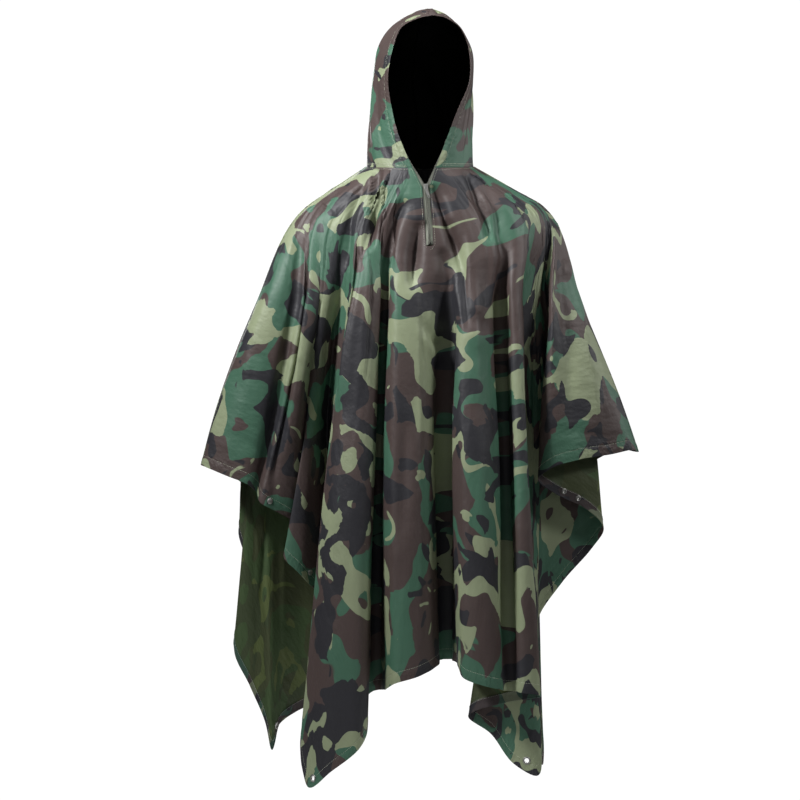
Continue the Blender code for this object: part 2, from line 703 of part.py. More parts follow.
def slider_blocks():
    """Two plates, the post between them and the bridge over the pull's crossbar."""
    plate_y = (SLIDER_CHANNEL + SLIDER_PLATE) / 2
    top = SLIDER_CHANNEL / 2 + SLIDER_PLATE
    post_z = SLIDER_LENGTH / 2 - SLIDER_POST[1] / 2
    leg_z = (BRIDGE_SPAN + BRIDGE_LEG) / 2
    leg_height = BRIDGE_CLEAR + BRIDGE_BAR + 0.2
    plate = (SLIDER_WIDTH, SLIDER_PLATE, SLIDER_LENGTH)
    blocks = [((0, side * plate_y, 0), plate) for side in (1, -1)]
    blocks.append(((0, 0, post_z), (SLIDER_POST[0], SLIDER_CHANNEL + 0.6, SLIDER_POST[1])))
    for side in (1, -1):
        leg = (BRIDGE_WIDTH, leg_height, BRIDGE_LEG)
        blocks.append(((0, top - 0.2 + leg_height / 2, side * leg_z), leg))
    bar = (BRIDGE_WIDTH, BRIDGE_BAR, BRIDGE_SPAN + 2 * BRIDGE_LEG)
    blocks.append(((0, top + BRIDGE_CLEAR + BRIDGE_BAR / 2, 0), bar))
    return blocks


def pull_hinge_y():
    """Height of the crossbar over the chain's middle plane."""
    return SLIDER_CHANNEL / 2 + SLIDER_PLATE + BRIDGE_CLEAR / 2


def pull_mesh():
    """Flat tab with an eye at its top, whose crossbar lies on the hinge axis."""
    bm = bmesh.new()
    eye_bottom = BRIDGE_SPAN / 2 + BRIDGE_LEG + 1.6
    outline = bmesh.ops.create_grid(bm, x_segments=3, y_segments=3, size=1.0)["verts"]
    half = PULL_WIDTH / 2
    xs = (-half, -half + PULL_RAIL, half - PULL_RAIL, half)
    zs = (PULL_THICK / 2, -PULL_THICK / 2, -eye_bottom, -PULL_LENGTH)
    for vert in outline:
        i = round((vert.co.x + 1) / 2 * 3)
        j = round((vert.co.y + 1) / 2 * 3)
        lean = math.tan(math.radians(PULL_TILT)) * max(0.0, -zs[j] - eye_bottom)
        vert.co = metres((xs[i] + lean, 0, zs[j]))
    eye = [f for f in bm.faces if abs(f.calc_center_median().x) < MM * 0.6
           and -eye_bottom * MM < f.calc_center_median().z < -PULL_THICK / 2 * MM]
    bmesh.ops.delete(bm, geom=eye, context="FACES")
    turn_outwards(bm, Vector((0, 1, 0)))
    return bm


def ring_profile(name, profile, collection, material, frame):
    """Turned ring from a closed profile of (radius, height), in millimetres."""
    bm = bmesh.new()
    verts = [bm.verts.new((r * MM, 0, z * MM)) for r, z in profile]
    edges = [bm.edges.new((verts[k], verts[(k + 1) % len(verts)])) for k in range(len(verts))]
    bmesh.ops.spin(
        bm, geom=verts + edges, cent=(0, 0, 0), axis=(0, 0, 1), angle=2 * math.pi,
        steps=TURNED_STEPS, use_merge=True, use_duplicate=False,
    )
    bmesh.ops.remove_doubles(bm, verts=bm.verts, dist=0.005 * MM)
    bmesh.ops.recalc_face_normals(bm, faces=bm.faces)
    obj = new_object(name, bm, collection, material)
    obj.matrix_world = frame
    return obj


def seat_on(sheet, target, room):
    """Frame on the roomy facet nearest to a point, Z along the facet's outward normal."""
    def middle(face):
        corners = [v.co for v in face.verts]
        sides = [(corners[1] - corners[2]).length, (corners[2] - corners[0]).length,
                 (corners[0] - corners[1]).length]
        total = sum(sides)
        return sum((c * s for c, s in zip(corners, sides)), Vector()) / total

    sheet.normal_update()
    normals = sheet.verts.layers.float_vector["outward"]
    roomy = [f for f in sheet.faces if 2 * f.calc_area() / f.calc_perimeter() > room * MM]
    face = min(roomy, key=lambda f: (middle(f) - target).length)
    outward = sum((vert[normals] for vert in face.verts), Vector())
    normal = face.normal * (1 if face.normal.dot(outward) > 0 else -1)
    along = (face.verts[0].co - face.verts[1].co).normalized()
    side = normal.cross(along)
    turn = Matrix((along, side, normal)).transposed().to_4x4()
    return Matrix.Translation(middle(face)) @ turn


def clinched(name, panel_obj, frame, profile, hole_radius, collection, material):
    """Turned metal piece clamped through a hole in the cloth, with the cutter for that hole."""
    ring_profile(name, profile, collection, material, frame)
    bm = bmesh.new()
    bmesh.ops.create_cone(
        bm, cap_ends=True, segments=TURNED_STEPS, radius1=hole_radius * MM,
        radius2=hole_radius * MM, depth=4 * WALL * MM,
    )
    cutter = new_object(f"{name}_cutter", bm, TOOLS, None)
    cutter.matrix_world = frame
    cutter.display_type = "WIRE"
    cutter.hide_render = True
    hole = panel_obj.modifiers.new(cutter.name, "BOOLEAN")
    hole.operation = "DIFFERENCE"
    hole.object = cutter


def eyelet_profile():
    """Barrel with a flange on each face of the cloth, as (radius, height)."""
    inside = WALL / 2 + EYELET_CLEAR
    outside = inside + EYELET_FLANGE_THICK
    return [
        (EYELET_HOLE, outside), (EYELET_HOLE, -outside), (EYELET_FLANGE, -outside),
        (EYELET_FLANGE, -inside), (EYELET_BARREL, -inside), (EYELET_BARREL, inside),
        (EYELET_FLANGE, inside), (EYELET_FLANGE, outside),
    ]


def stud_profile():
    """Domed cap outside, post through the cloth and ring-shaped socket inside."""
    base = WALL / 2 + STUD_CLEAR
    return [
        (0.0, base + STUD_DOME), (STUD_RADIUS * 0.7, base + STUD_DOME * 0.9),
        (STUD_RADIUS, base + STUD_RIM), (STUD_RADIUS, base), (STUD_POST, base),
        (STUD_POST, -base), (STUD_RADIUS, -base), (STUD_RADIUS, -base - STUD_RIM),
        (STUD_RADIUS * 0.8, -base - STUD_DOME), (STUD_SOCKET, -base - STUD_DOME),
        (STUD_SOCKET, -base - STUD_RIM / 2), (0.0, -base - STUD_RIM / 2),
    ]


def hem_target(panel, fold_name, along, v):
    """A point near the hem, part of the way from one fold line to the next."""
    names = [fold.name for fold in panel.folds]
    k = names.index(fold_name)
    u = panel.knots[k] + along * (panel.knots[k + 1] - panel.knots[k])
    return metres(panel.point(u, v))


clear_scene()
PONCHO = new_collection("rain_poncho")
TOOLS = new_collection("cutters", hidden=True)

cloth = new_material("poncho_cloth", CLOTH_GREEN, 0.45)
hood_cloth = new_material("hood_cloth", CLOTH_HOOD, 0.45)
tape = new_material("zip_tape", TAPE_OLIVE, 0.8)
metal = new_material("bare_metal", METAL_GREY, 0.35, 1.0)
dark_metal = new_material("dark_metal", METAL_DARK, 0.4, 1.0)

sheets = {"front": front_sheet(), "back": back_sheet()}
surfaces = {"front": FRONT_PANEL, "back": BACK_PANEL}
panels = {
    word: new_object(f"{word}_panel", walled(sheet, WALL), PONCHO, cloth)
    for word, sheet in sheets.items()
}

for side, word in ((-1, "left"), (1, "right")):
    half = new_object(f"hood_{word}", hood_mesh(side), PONCHO, hood_cloth)
    thicken(half, WALL)
    teeth_far = TEETH_NEAR + TEETH_WIDTH - ZIP_HALF_SLIT
    tape_strip = strip_mesh(side, teeth_far + PIECE_GAP, TAPE_UNDER)
    thicken(new_object(f"zip_tape_{word}", tape_strip, PONCHO, tape), TAPE_THICK)
    tooth_row = strip_mesh(side, TEETH_NEAR - ZIP_HALF_SLIT, teeth_far, closed_flat=True)
    thicken(new_object(f"zip_teeth_{word}", tooth_row, PONCHO, dark_metal), TEETH_THICK)

slider_frame = zip_frame(ZIP_SLIDER_V)
joined("zip_slider", slider_blocks(), slider_frame, PONCHO, metal)
pull = new_object("zip_pull_tab", pull_mesh(), PONCHO, metal)
pull.matrix_world = slider_frame @ Matrix.Translation(metres((0, pull_hinge_y(), 0)))
thicken(pull, PULL_THICK)

stop_place = (0, (TEETH_THICK + STOP_SIZE[1]) / 2 + PIECE_GAP, STOP_RISE + STOP_SIZE[2] / 2)
joined("zip_bottom_stop", [(stop_place, STOP_SIZE)], zip_frame(ZIP_BOTTOM_V), PONCHO, dark_metal)

for corner, word, fold_name in (
    ("front_left", "front", "front_left_corner"),
    ("front_right", "front", "front_right_corner"),
    ("back_left", "back", "back_left_corner"),
    ("back_right", "back", "back_right_corner"),
):
    target = hem_target(surfaces[word], fold_name, 0.0, 0.985)
    frame = seat_on(sheets[word], target, EYELET_FLANGE + EYELET_CLEAR)
    clinched(
        f"eyelet_{corner}", panels[word], frame, eyelet_profile(), EYELET_CLOTH_HOLE, PONCHO, metal,
    )

for number, (word, fold_name, along) in enumerate((
    ("front", "lobe_middle", 0.0),
    ("front", "flap_middle", 0.4),
    ("front", "inner_layer", 0.0),
    ("front", "inner_layer", 0.7),
    ("back", "sleeve_back", 0.3),
    ("back", "strip_middle", 0.3),
    ("back", "side_hem_high", 0.4),
    ("back", "sleeve_inside", 0.4),
), start=1):
    target = hem_target(surfaces[word], fold_name, along, 0.98)
    frame = seat_on(sheets[word], target, STUD_RADIUS + STUD_CLEAR)
    clinched(
        f"press_stud_{number}", panels[word], frame, stud_profile(), STUD_POST + STUD_CLEAR,
        PONCHO, metal,
    )
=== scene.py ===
"""Hooded rain poncho of coated cloth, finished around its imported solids.

Lengths in the tables are millimetres: X to the right as seen from the front, Y from front to back,
Z up. Left and right are as seen from the front.
"""

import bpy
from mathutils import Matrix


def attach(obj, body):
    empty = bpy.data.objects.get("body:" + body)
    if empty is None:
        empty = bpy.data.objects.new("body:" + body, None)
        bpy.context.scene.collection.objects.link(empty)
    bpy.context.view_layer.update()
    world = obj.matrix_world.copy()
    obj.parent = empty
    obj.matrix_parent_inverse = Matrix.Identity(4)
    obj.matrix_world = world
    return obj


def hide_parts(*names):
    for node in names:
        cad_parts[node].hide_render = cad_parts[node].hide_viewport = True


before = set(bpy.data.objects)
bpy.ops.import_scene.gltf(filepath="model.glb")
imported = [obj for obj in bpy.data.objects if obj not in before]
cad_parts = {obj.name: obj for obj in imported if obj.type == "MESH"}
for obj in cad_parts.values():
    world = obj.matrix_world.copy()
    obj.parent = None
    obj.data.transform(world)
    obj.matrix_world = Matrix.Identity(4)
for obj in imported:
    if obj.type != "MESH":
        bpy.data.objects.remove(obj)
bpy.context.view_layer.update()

import math
from collections import namedtuple

import bmesh
import bpy
import numpy as np
from bpy.props import FloatProperty, FloatVectorProperty, IntProperty, PointerProperty
from mathutils import Matrix, Vector

bl_info = {
    "name": "Rain Poncho",
    "version": (1, 0, 0),
    "blender": (4, 5, 0),
    "location": "3D View > Sidebar > Poncho",
    "description": "Builds a hooded rain poncho with zip, hems, eyelets and press studs",
    "category": "Object",
}

MM = 0.001
BODY = "garment"

# Neck opening, an oval ring that dips towards the front
NECK_HALF_WIDTH = 106.0
NECK_HALF_DEPTH = 102.0
NECK_CENTRE_Y = -10.0
NECK_CENTRE_Z = -2.0
NECK_DIP = 12.0
NECK_STEP_OUT = 1.4
NECK_STEP_DOWN = 1.0
NECK_TWIST = 3.0
SHOULDER_GAP = 1.1
SEAM_GAP = 0.5

# Shoulders and body of the general figure under the cloth
YOKE_CENTRE_X = 10.0
YOKE_HALF_WIDTH = 232.0
YOKE_FRONT = 125.0
YOKE_BACK = 118.0
YOKE_Z = -78.0
YOKE_FRONT_DROP = 22.0
YOKE_BACK_RISE = 12.0
CHEST_Z = -270.0
CHEST_HALF_WIDTH = 335.0
CHEST_FRONT = 150.0
CHEST_BACK = 128.0
STRAIGHT_SHARE = 0.7
CHEST_SHARE = 0.5
CHEST_FOLD_SHARE = 0.4
WAIST_Z = -500.0
WAIST_HALF_WIDTH = 418.0
WAIST_FRONT = 165.0
WAIST_BACK = 140.0

# Fold lines of the two panels, from the neck to the hem
Fold = namedtuple("Fold", "name yoke_deg waist_x waist_y hem_x hem_y hem_z chest", defaults=[None])

FRONT = [
    Fold("arm_line", 180, -412, 0, -438, 0, -598, (-325, 0)),
    Fold("arm_front", 185, -402, -48, -429, -50, -599),
    Fold("sleeve_face", 191, -361, -80, -382, -78, -617),
    Fold("sleeve_edge", 197, -306, -82, -335, -78, -637),
    Fold("shoulder_crease", 200, -290, -70, -325, -64, -648),
    Fold("shoulder_crest", 204, -276, -99, -313, -93, -670),
    Fold("lobe_middle", 209, -256, -101, -287, -86, -685),
    Fold("lobe_side", 214, -237, -98, -254, -70, -705),
    Fold("tuck", 219, -226, -80, -231, -52, -733),
    Fold("flap_edge", 223, -220, -91, -268, -88, -776),
    Fold("flap_middle", 226, -208, -84, -240, -90, -806),
    Fold("flap_side", 229, -197, -62, -206, -62, -844),
    Fold("hidden_valley", 233, -183, -36, -164, -12, -890),
    Fold("fold_a_back", 237, -166, -88, -190, -62, -955),
    Fold("fold_a_side", 240, -170, -128, -219, -112, -1040),
    Fold("fold_a_edge", 242, -164, -145, -231, -132, -1176),
    Fold("front_left_corner", 244, -154, -158, -218, -152, -1217),
    Fold("fold_a_middle", 246, -124, -173, -171, -185, -1181),
    Fold("fold_a_front", 248, -99, -166, -121, -185, -1141),
    Fold("fold_a_right", 250, -86, -146, -106, -158, -1117),
    Fold("valley_ab_left", 251.5, -83, -113, -98, -96, -1050),
    Fold("valley_ab", 253, -74, -98, -82, -76, -1041),
    Fold("fold_b_left", 255, -64, -146, -67, -142, -1029),
    Fold("fold_b_front", 258, -46, -177, -46, -193, -1011),
    Fold("fold_b_middle", 263.5, -8, -172, -8, -192, -1000),
    Fold("zip_line", 271, 28, -155, 30, -158, -985),
    Fold("valley_bc", 279, 55, -125, 56, -104, -977),
    Fold("fold_c_left", 285, 67, -152, 73, -150, -979),
    Fold("fold_c_front", 290, 83, -181, 82, -197, -1001),
    Fold("fold_c_middle", 295, 117, -183, 121, -206, -1015),
    Fold("fold_c_right", 300, 153, -158, 164, -192, -1025),
    Fold("valley_cd", 308, 170, -106, 180, -176, -1028),
    Fold("fold_d_left", 313, 182, -141, 196, -186, -1031),
    Fold("fold_d_right", 318, 199, -144, 224, -174, -1036),
    Fold("fold_d_turn", 321, 204, -119, 231, -150, -1043),
    Fold("under_layer", 323.5, 192, -94, 164, -138, -1056),
    Fold("under_turn", 326, 180, -74, 93, -122, -1085),
    Fold("corner_layer_left", 328, 190, -60, 136, -107, -1119),
    Fold("corner_layer_middle", 330, 202, -54, 184, -110, -1180),
    Fold("front_right_corner", 332, 212, -50, 226, -112, -1202),
    Fold("side_hem_low", 334, 221, -46, 237, -86, -1126),
    Fold("side_hem_middle", 336, 232, -42, 234, -62, -1021),
    Fold("side_hem_high", 338, 247, -38, 228, -46, -914),
    Fold("rear_layer_middle", 340, 280, -30, 282, -30, -830, (240, -50)),
    Fold("rear_layer_right", 342, 318, -26, 342, -27, -762, (246, -45)),
    Fold("rear_turn", 344, 338, -40, 364, -43, -724, (250, -48)),
    Fold("inner_layer", 346, 304, -60, 325, -63, -681, (255, -62)),
    Fold("inner_layer_left", 348, 262, -76, 267, -78, -653, (254, -76)),
    Fold("sleeve_turn", 350, 236, -94, 231, -94, -623, (252, -89)),
    Fold("sleeve_left", 352, 250, -110, 253, -107, -603, (258, -99)),
    Fold("sleeve_middle", 354, 297, -103, 309, -99, -585),
    Fold("right_sleeve_face", 356, 361, -68, 378, -64, -575),
    Fold("right_arm_front", 358, 393, -38, 421, -34, -567),
    Fold("right_arm_line", 360, 412, 0, 436, 0, -572, (320, 0)),
]

BACK = [
    Fold("arm_line", 180, -412, 0, -438, 0, -598, (-325, 0)),
    Fold("arm_back", 176, -403, 46, -428, 52, -604),
    Fold("sleeve_back", 171, -374, 90, -384, 106, -622),
    Fold("sleeve_turn", 166, -336, 114, -340, 132, -672, (-284, 85)),
    Fold("strip_edge", 161, -352, 86, -369, 88, -738, (-277, 74)),
    Fold("strip_middle", 157, -336, 82, -352, 82, -788, (-268, 75)),
    Fold("strip_turn", 153, -312, 78, -316, 80, -844, (-257, 81)),
    Fold("inner_face_back", 149, -322, 60, -357, 62, -906, (-250, 70)),
    Fold("inner_face_edge", 146, -320, 44, -376, 46, -968, (-244, 64)),
    Fold("side_hem", 143.5, -303, 47, -343, 46, -1046),
    Fold("side_hem_low", 142, -288, 53, -313, 51, -1118),
    Fold("back_left_corner", 140, -275, 58, -299, 54, -1176),
    Fold("inner_face_middle", 136, -250, 75, -285, 74, -1127),
    Fold("inner_face_right", 131, -215, 95, -252, 96, -1104),
    Fold("valley_left", 125, -180, 108, -214, 112, -1088),
    Fold("crest_1", 118, -143, 164, -166, 224, -1062),
    Fold("valley_1", 111, -106, 108, -121, 98, -1030),
    Fold("crest_2", 104, -66, 182, -76, 238, -1004),
    Fold("crest_2_side", 98, -34, 166, -38, 212, -990),
    Fold("valley_2", 92, 0, 110, 2, 98, -984),
    Fold("crest_3", 86, 34, 178, 40, 234, -984),
    Fold("crest_3_side", 80, 70, 164, 82, 212, -995),
    Fold("valley_3", 73, 104, 108, 114, 96, -1012),
    Fold("crest_4", 66, 139, 162, 154, 216, -1042),
    Fold("valley_4", 58, 166, 104, 182, 94, -1082),
    Fold("crest_5", 50, 195, 134, 214, 158, -1132),
    Fold("back_right_corner", 43, 216, 96, 250, 92, -1212),
    Fold("right_hem_low", 37, 232, 76, 245, 70, -1077),
    Fold("side_hem_middle", 31, 246, 64, 231, 56, -922),
    Fold("side_hem_high", 25, 280, 61, 252, 49, -824),
    Fold("sleeve_inside", 18, 322, 70, 318, 58, -711),
    Fold("right_sleeve_back", 11, 352, 82, 346, 82, -600),
    Fold("right_arm_back", 5, 392, 54, 400, 56, -570),
    Fold("right_arm_line", 0, 412, 0, 436, 0, -572, (320, 0)),
]

# Hood sections, from the neck seam to the top of the face opening
HoodSection = namedtuple(
    "HoodSection", "name face_x face_y face_z seam_y seam_z side_w turn_deg lean_x",
)
HOOD = [
    HoodSection("neck", 23, -110, -13, 92, 9, 106, 3, 0),
    HoodSection("chin", 47, -100, 48, 113, 64, 104, 3, 0),
    HoodSection("cheek", 64, -90, 102, 124, 120, 102, 4, 2),
    HoodSection("eyes", 81, -82, 162, 121, 186, 98, 9, 4),
    HoodSection("temple", 77, -80, 218, 96, 246, 92, 10, 7),
    HoodSection("brow", 60, -80, 262, 48, 288, 66, 10, 7),
    HoodSection("forehead", 28, -79, 282, -12, 308, 34, 10, 10),
    HoodSection("top", 2, -78, 288, -62, 304, 4, 10, 12),
]
HOOD_BLEND = 0.16
HOOD_ALLOWANCE = 7.0        # cloth turned down inside the neck seam
HOOD_STEP_IN = 1.2
HOOD_COLUMNS = 78
HOOD_ROWS = 92
HOOD_FOOT_ROWS = (0, 0.006, 0.012, 0.018, 0.026)
HOOD_EDGE_COLUMNS = (0, 0.8, 2.5, 6, 10, 13, 14.2, 15, 15.8, 17, 20)
HOOD_HEM = 15.0             # width of the turned edge round the face opening
HOOD_RIPPLE = 1.3
HOOD_SEED = 40
HOOD_PRINT = (700, 1500)    # the halves' distance apart on the print, and their distance up it

# Creases drawn on the panels. Each runs through places (fold line, mm to its right, share of the
# way from neck to hem). rise is outward, and negative for a groove. width is its half width.
# A lap is steep on its left and runs out gently to its right (lap 1), or the other way round (-1).
Crease = namedtuple("Crease", "name rise width start middle end lap", defaults=[0])

FRONT_CREASES = [
    Crease("valley_a_b", -22, 10, ("valley_ab", 1, .18), ("valley_ab", 1, .55),
           ("valley_ab", 1, 1.12), -1),
    Crease("valley_b_c", -27, 11, ("valley_bc", 4, .22), ("valley_bc", 4, .55),
           ("valley_bc", 2, 1.12), -1),
    Crease("valley_c_d", -24, 10, ("valley_cd", -3, .20), ("valley_cd", -2, .55),
           ("valley_cd", 0, 1.12), -1),
    Crease("fold_b_lip", 6, 8, ("fold_b_left", 0, .22), ("fold_b_left", 0, .55),
           ("fold_b_left", 1, 1.05), 1),
    Crease("fold_c_lip", 7, 8, ("fold_c_left", 2, .30), ("fold_c_left", 2, .60),
           ("fold_c_left", 3, 1.05), 1),
    Crease("fold_d_lip", 6, 7, ("fold_d_left", 2, .20), ("fold_d_left", 2, .55),
           ("fold_d_left", 3, 1.05), 1),
    Crease("shoulder_groove", -19, 6, ("lobe_middle", 14, .16), ("lobe_middle", -3, .42),
           ("lobe_middle", -7, .66), -1),
    Crease("shoulder_groove_low", -18, 6, ("lobe_middle", -3, .42), ("lobe_middle", -8, .68),
           ("lobe_middle", -11, .95), -1),
    Crease("shoulder_lip", 12, 9, ("lobe_middle", 24, .16), ("lobe_middle", 6, .46),
           ("lobe_middle", 1, .86), 1),
    Crease("sleeve_ridge", 4, 20, ("sleeve_edge", -16, .27), ("sleeve_face", -11, .496),
           ("sleeve_face", -13, .74)),
    Crease("sleeve_groove", -3, 15, ("shoulder_crease", 2, .29), ("sleeve_edge", -7, .479),
           ("sleeve_edge", -10, .77)),
    Crease("yoke_wrinkle", -4, 6, ("shoulder_crest", 1, .173), None, ("flap_edge", 15, .126)),
    Crease("yoke_valley", -12, 13, ("tuck", -1, .05), ("hidden_valley", -10, .133),
           ("hidden_valley", 4, .25)),
    Crease("thin_fold", 13, 8, ("fold_a_edge", 11, .16), ("front_left_corner", -15, .263),
           ("fold_a_edge", 18, .40), 1),
    Crease("thin_fold_groove", -14, 12, ("fold_a_edge", -14, .15), ("fold_a_edge", -16, .27),
           ("fold_a_side", 8, .42)),
    Crease("neck_pleat_1", -9, 10, ("tuck", 13, .004), ("hidden_valley", 28, .05),
           ("fold_a_edge", 1, .09)),
    Crease("deep_pleat", -20, 12, ("fold_a_edge", 1, .045), ("fold_a_middle", -2, .10),
           ("fold_a_middle", 7, .15)),
    Crease("neck_pleat_2", 8, 9, ("flap_side", 1, .004), ("fold_a_side", 38, .048),
           ("fold_a_front", -15, .10), 1),
    Crease("chest_edge", -16, 12, ("fold_b_front", 7, .065), ("fold_b_left", 19, .115),
           ("valley_ab", -1, .20)),
    Crease("zip_valley", -19, 12, ("zip_line", -22, .105), ("fold_b_middle", 11, .155),
           ("fold_b_middle", -5, .25)),
    Crease("box_edge", -8, 11, ("valley_bc", -20, .168), ("valley_bc", -1, .208),
           ("valley_bc", 15, .245)),
    Crease("slider_pull", -15, 10, ("valley_bc", -21, .036), ("valley_bc", -6, .08),
           ("valley_bc", 0, .13)),
    Crease("slider_pull_low", -18, 12, ("valley_bc", 0, .11), ("fold_c_left", -16, .165),
           ("fold_c_left", 7, .215)),
    Crease("slider_pull_end", -11, 12, ("fold_c_left", 5, .19), ("fold_c_front", -6, .258),
           ("fold_c_front", 4, .345)),
    Crease("slider_lip", 7, 9, ("valley_bc", -8, .06), ("valley_bc", 16, .12),
           ("fold_c_left", 20, .22), 1),
    Crease("wing_edge", -9, 11, ("valley_bc", 20, .225), ("fold_c_left", -19, .336),
           ("fold_c_left", -14, .49)),
    Crease("wing_fan", 6, 9, ("valley_bc", 20, .235), ("fold_c_left", 21, .298),
           ("fold_c_front", 14, .37), 1),
    Crease("fold_c_ridge", 3, 13, ("fold_c_middle", -11, .26), ("fold_c_middle", -5, .373),
           ("fold_c_middle", -3, .48)),
    Crease("fold_c_dent", -7, 10, ("fold_c_front", 4, .304), None, ("fold_c_right", -7, .336)),
    Crease("neck_pleat_3", -19, 11, ("fold_d_left", 11, .012), ("fold_c_right", 10, .08),
           ("fold_c_right", -4, .165)),
    Crease("neck_pleat_4", 8, 8, ("fold_d_right", 4, .02), ("fold_c_right", 16, .10),
           ("fold_c_right", 4, .19), 1),
    Crease("neck_pleat_5", -15, 10, ("fold_d_right", 8, .038), ("fold_c_right", 24, .115),
           ("fold_c_right", 20, .20)),
    Crease("breast_ridge", 7, 9, ("fold_c_middle", 12, .15), ("fold_c_right", -4, .206),
           ("fold_c_right", 5, .28), 1),
    Crease("fold_d_groove", -9, 13, ("valley_cd", -4, .11), ("valley_cd", -7, .208),
           ("valley_cd", 11, .38)),
    Crease("shoulder_point", -7, 9, ("sleeve_middle", -11, .21), ("sleeve_middle", 12, .266),
           ("sleeve_middle", -17, .31)),
    Crease("right_sleeve_groove", -7, 19, ("right_sleeve_face", -15, .34), ("sleeve_middle", 13, .627),
           ("sleeve_middle", -3, .93)),
    Crease("right_sleeve_ridge", 4, 15, ("right_arm_front", -3, .50), ("right_sleeve_face", 2, .719),
           ("right_sleeve_face", -12, .94)),
    Crease("fold_a_ridge", 3, 15, ("front_left_corner", 18, .40), ("front_left_corner", 21, .549),
           ("fold_a_middle", -26, .74)),
    Crease("fold_b_groove", -4, 11, ("fold_b_front", 15, .50), ("fold_b_front", 15, .614),
           ("fold_b_front", 12, .72)),
    Crease("fold_b_ridge", 3, 14, ("fold_b_middle", -4, .48), ("fold_b_middle", -10, .654),
           ("fold_b_middle", -16, .87)),
    Crease("fold_b_hollow", -3, 16, ("zip_line", 18, .42), ("valley_bc", -24, .632),
           ("valley_bc", -6, .86)),
    Crease("fold_b_hem", -2, 8, ("fold_b_front", 10, .76), ("fold_b_front", 3, .842),
           ("fold_b_front", -5, .94)),
    Crease("fold_c_low", 3, 17, ("fold_c_middle", -3, .51), ("fold_c_middle", 1, .692),
           ("fold_c_middle", 15, .89)),
    Crease("fold_c_side", -2, 9, ("fold_c_front", -9, .52), ("fold_c_front", -6, .702),
           ("fold_c_front", 1, .94)),
    Crease("chest_crumple", 6, 10, ("fold_b_middle", 7, .32), ("zip_line", -3, .358),
           ("zip_line", 24, .395)),
    Crease("chest_dimple", -6, 11, ("fold_b_middle", 20, .31), ("zip_line", 6, .345),
           ("valley_bc", -14, .372)),
    Crease("sleeve_hem_wrinkle", -2, 5, ("sleeve_face", 13, .885), None, ("shoulder_crest", 4, .91)),
    Crease("lobe_wrinkle", -5, 9, ("lobe_middle", -2, .86), ("lobe_middle", -5, .93),
           ("lobe_middle", -7, .985)),
    Crease("right_hem_wrinkle", -2, 6, ("sleeve_left", 20, .90), None, ("right_sleeve_face", 4, .955)),
    Crease("elbow_wrinkle", 5, 9, ("sleeve_left", 10, .47), None, ("right_sleeve_face", -4, .41)),
    Crease("arm_wrinkle", 2, 6, ("sleeve_face", -20, .60), None, ("sleeve_edge", -2, .66)),
]

BACK_CREASES = [
    Crease("nape_pleat_1", -12, 11, ("crest_1", 0, .01), ("crest_1", 8, .09), ("crest_1", 4, .19)),
    Crease("nape_pleat_2", 9, 10, ("crest_2", -14, .02), ("crest_2", -8, .11), ("crest_2", -16, .24)),
    Crease("nape_pleat_3", -13, 11, ("crest_3", 6, .006), ("crest_3", 14, .07),
           ("crest_3_side", 2, .17)),
    Crease("nape_pleat_4", -9, 9, ("crest_4", -8, .02), ("crest_4", -2, .10), ("valley_3", 8, .21)),
    Crease("blade_left", -9, 14, ("valley_left", -6, .13), ("valley_left", 4, .26),
           ("crest_1", -18, .46)),
    Crease("blade_right", -9, 13, ("valley_4", 6, .12), ("valley_4", -5, .25), ("crest_4", 16, .44)),
    Crease("spine_ridge", 4, 14, ("crest_2_side", 8, .20), ("crest_2_side", 2, .42),
           ("crest_2", 20, .66)),
    Crease("back_groove_1", -9, 13, ("crest_1", 14, .34), ("crest_1", 6, .55), ("crest_1", 12, .80)),
    Crease("back_groove_2", -7, 15, ("crest_3", -12, .38), ("crest_3", 0, .58), ("crest_3", -10, .90)),
    Crease("back_ridge_1", 4, 12, ("crest_4", 6, .42), ("crest_4", -6, .63), ("crest_4", 4, .86)),
    Crease("back_ridge_2", 3, 10, ("crest_1", -16, .50), ("crest_1", -10, .70), ("crest_1", -22, .93)),
    Crease("seat_crumple", 4, 8, ("crest_2", 4, .36), ("crest_2_side", 6, .395), ("valley_2", -6, .42)),
    Crease("left_shoulder_groove", -10, 12, ("sleeve_turn", -6, .20), ("sleeve_turn", 4, .36),
           ("sleeve_turn", -4, .58)),
    Crease("left_sleeve_ridge", 3, 14, ("arm_back", 12, .38), ("sleeve_back", 2, .62),
           ("sleeve_back", -12, .92)),
    Crease("strip_groove", -2, 8, ("strip_middle", 2, .60), ("strip_middle", -4, .76),
           ("strip_middle", 6, .95)),
    Crease("inner_ridge", 4, 16, ("side_hem_low", 0, .40), ("side_hem_low", 8, .60),
           ("side_hem", 10, .88)),
    Crease("inner_groove", -4, 14, ("inner_face_middle", 4, .38), ("inner_face_middle", -4, .62),
           ("inner_face_middle", 6, .92)),
    Crease("inner_crumple", 3, 7, ("inner_face_back", 4, .66), None, ("side_hem_low", 2, .72)),
    Crease("right_shoulder_groove", -10, 12, ("sleeve_inside", 4, .22), ("sleeve_inside", -8, .40),
           ("sleeve_inside", 2, .60)),
    Crease("right_sleeve_ridge", 4, 13, ("right_sleeve_back", 12, .40), ("right_sleeve_back", 0, .62),
           ("right_sleeve_back", 10, .90)),
    Crease("right_sleeve_wrinkle", -3, 6, ("right_sleeve_back", -10, .86), None,
           ("right_arm_back", 6, .92)),
    Crease("hip_wrinkle", -3, 7, ("crest_5", -12, .52), None, ("right_hem_low", 4, .47)),
    Crease("hem_wrinkle", 3, 8, ("crest_5", 6, .78), ("crest_5", -4, .88), ("crest_5", 8, .97)),
]

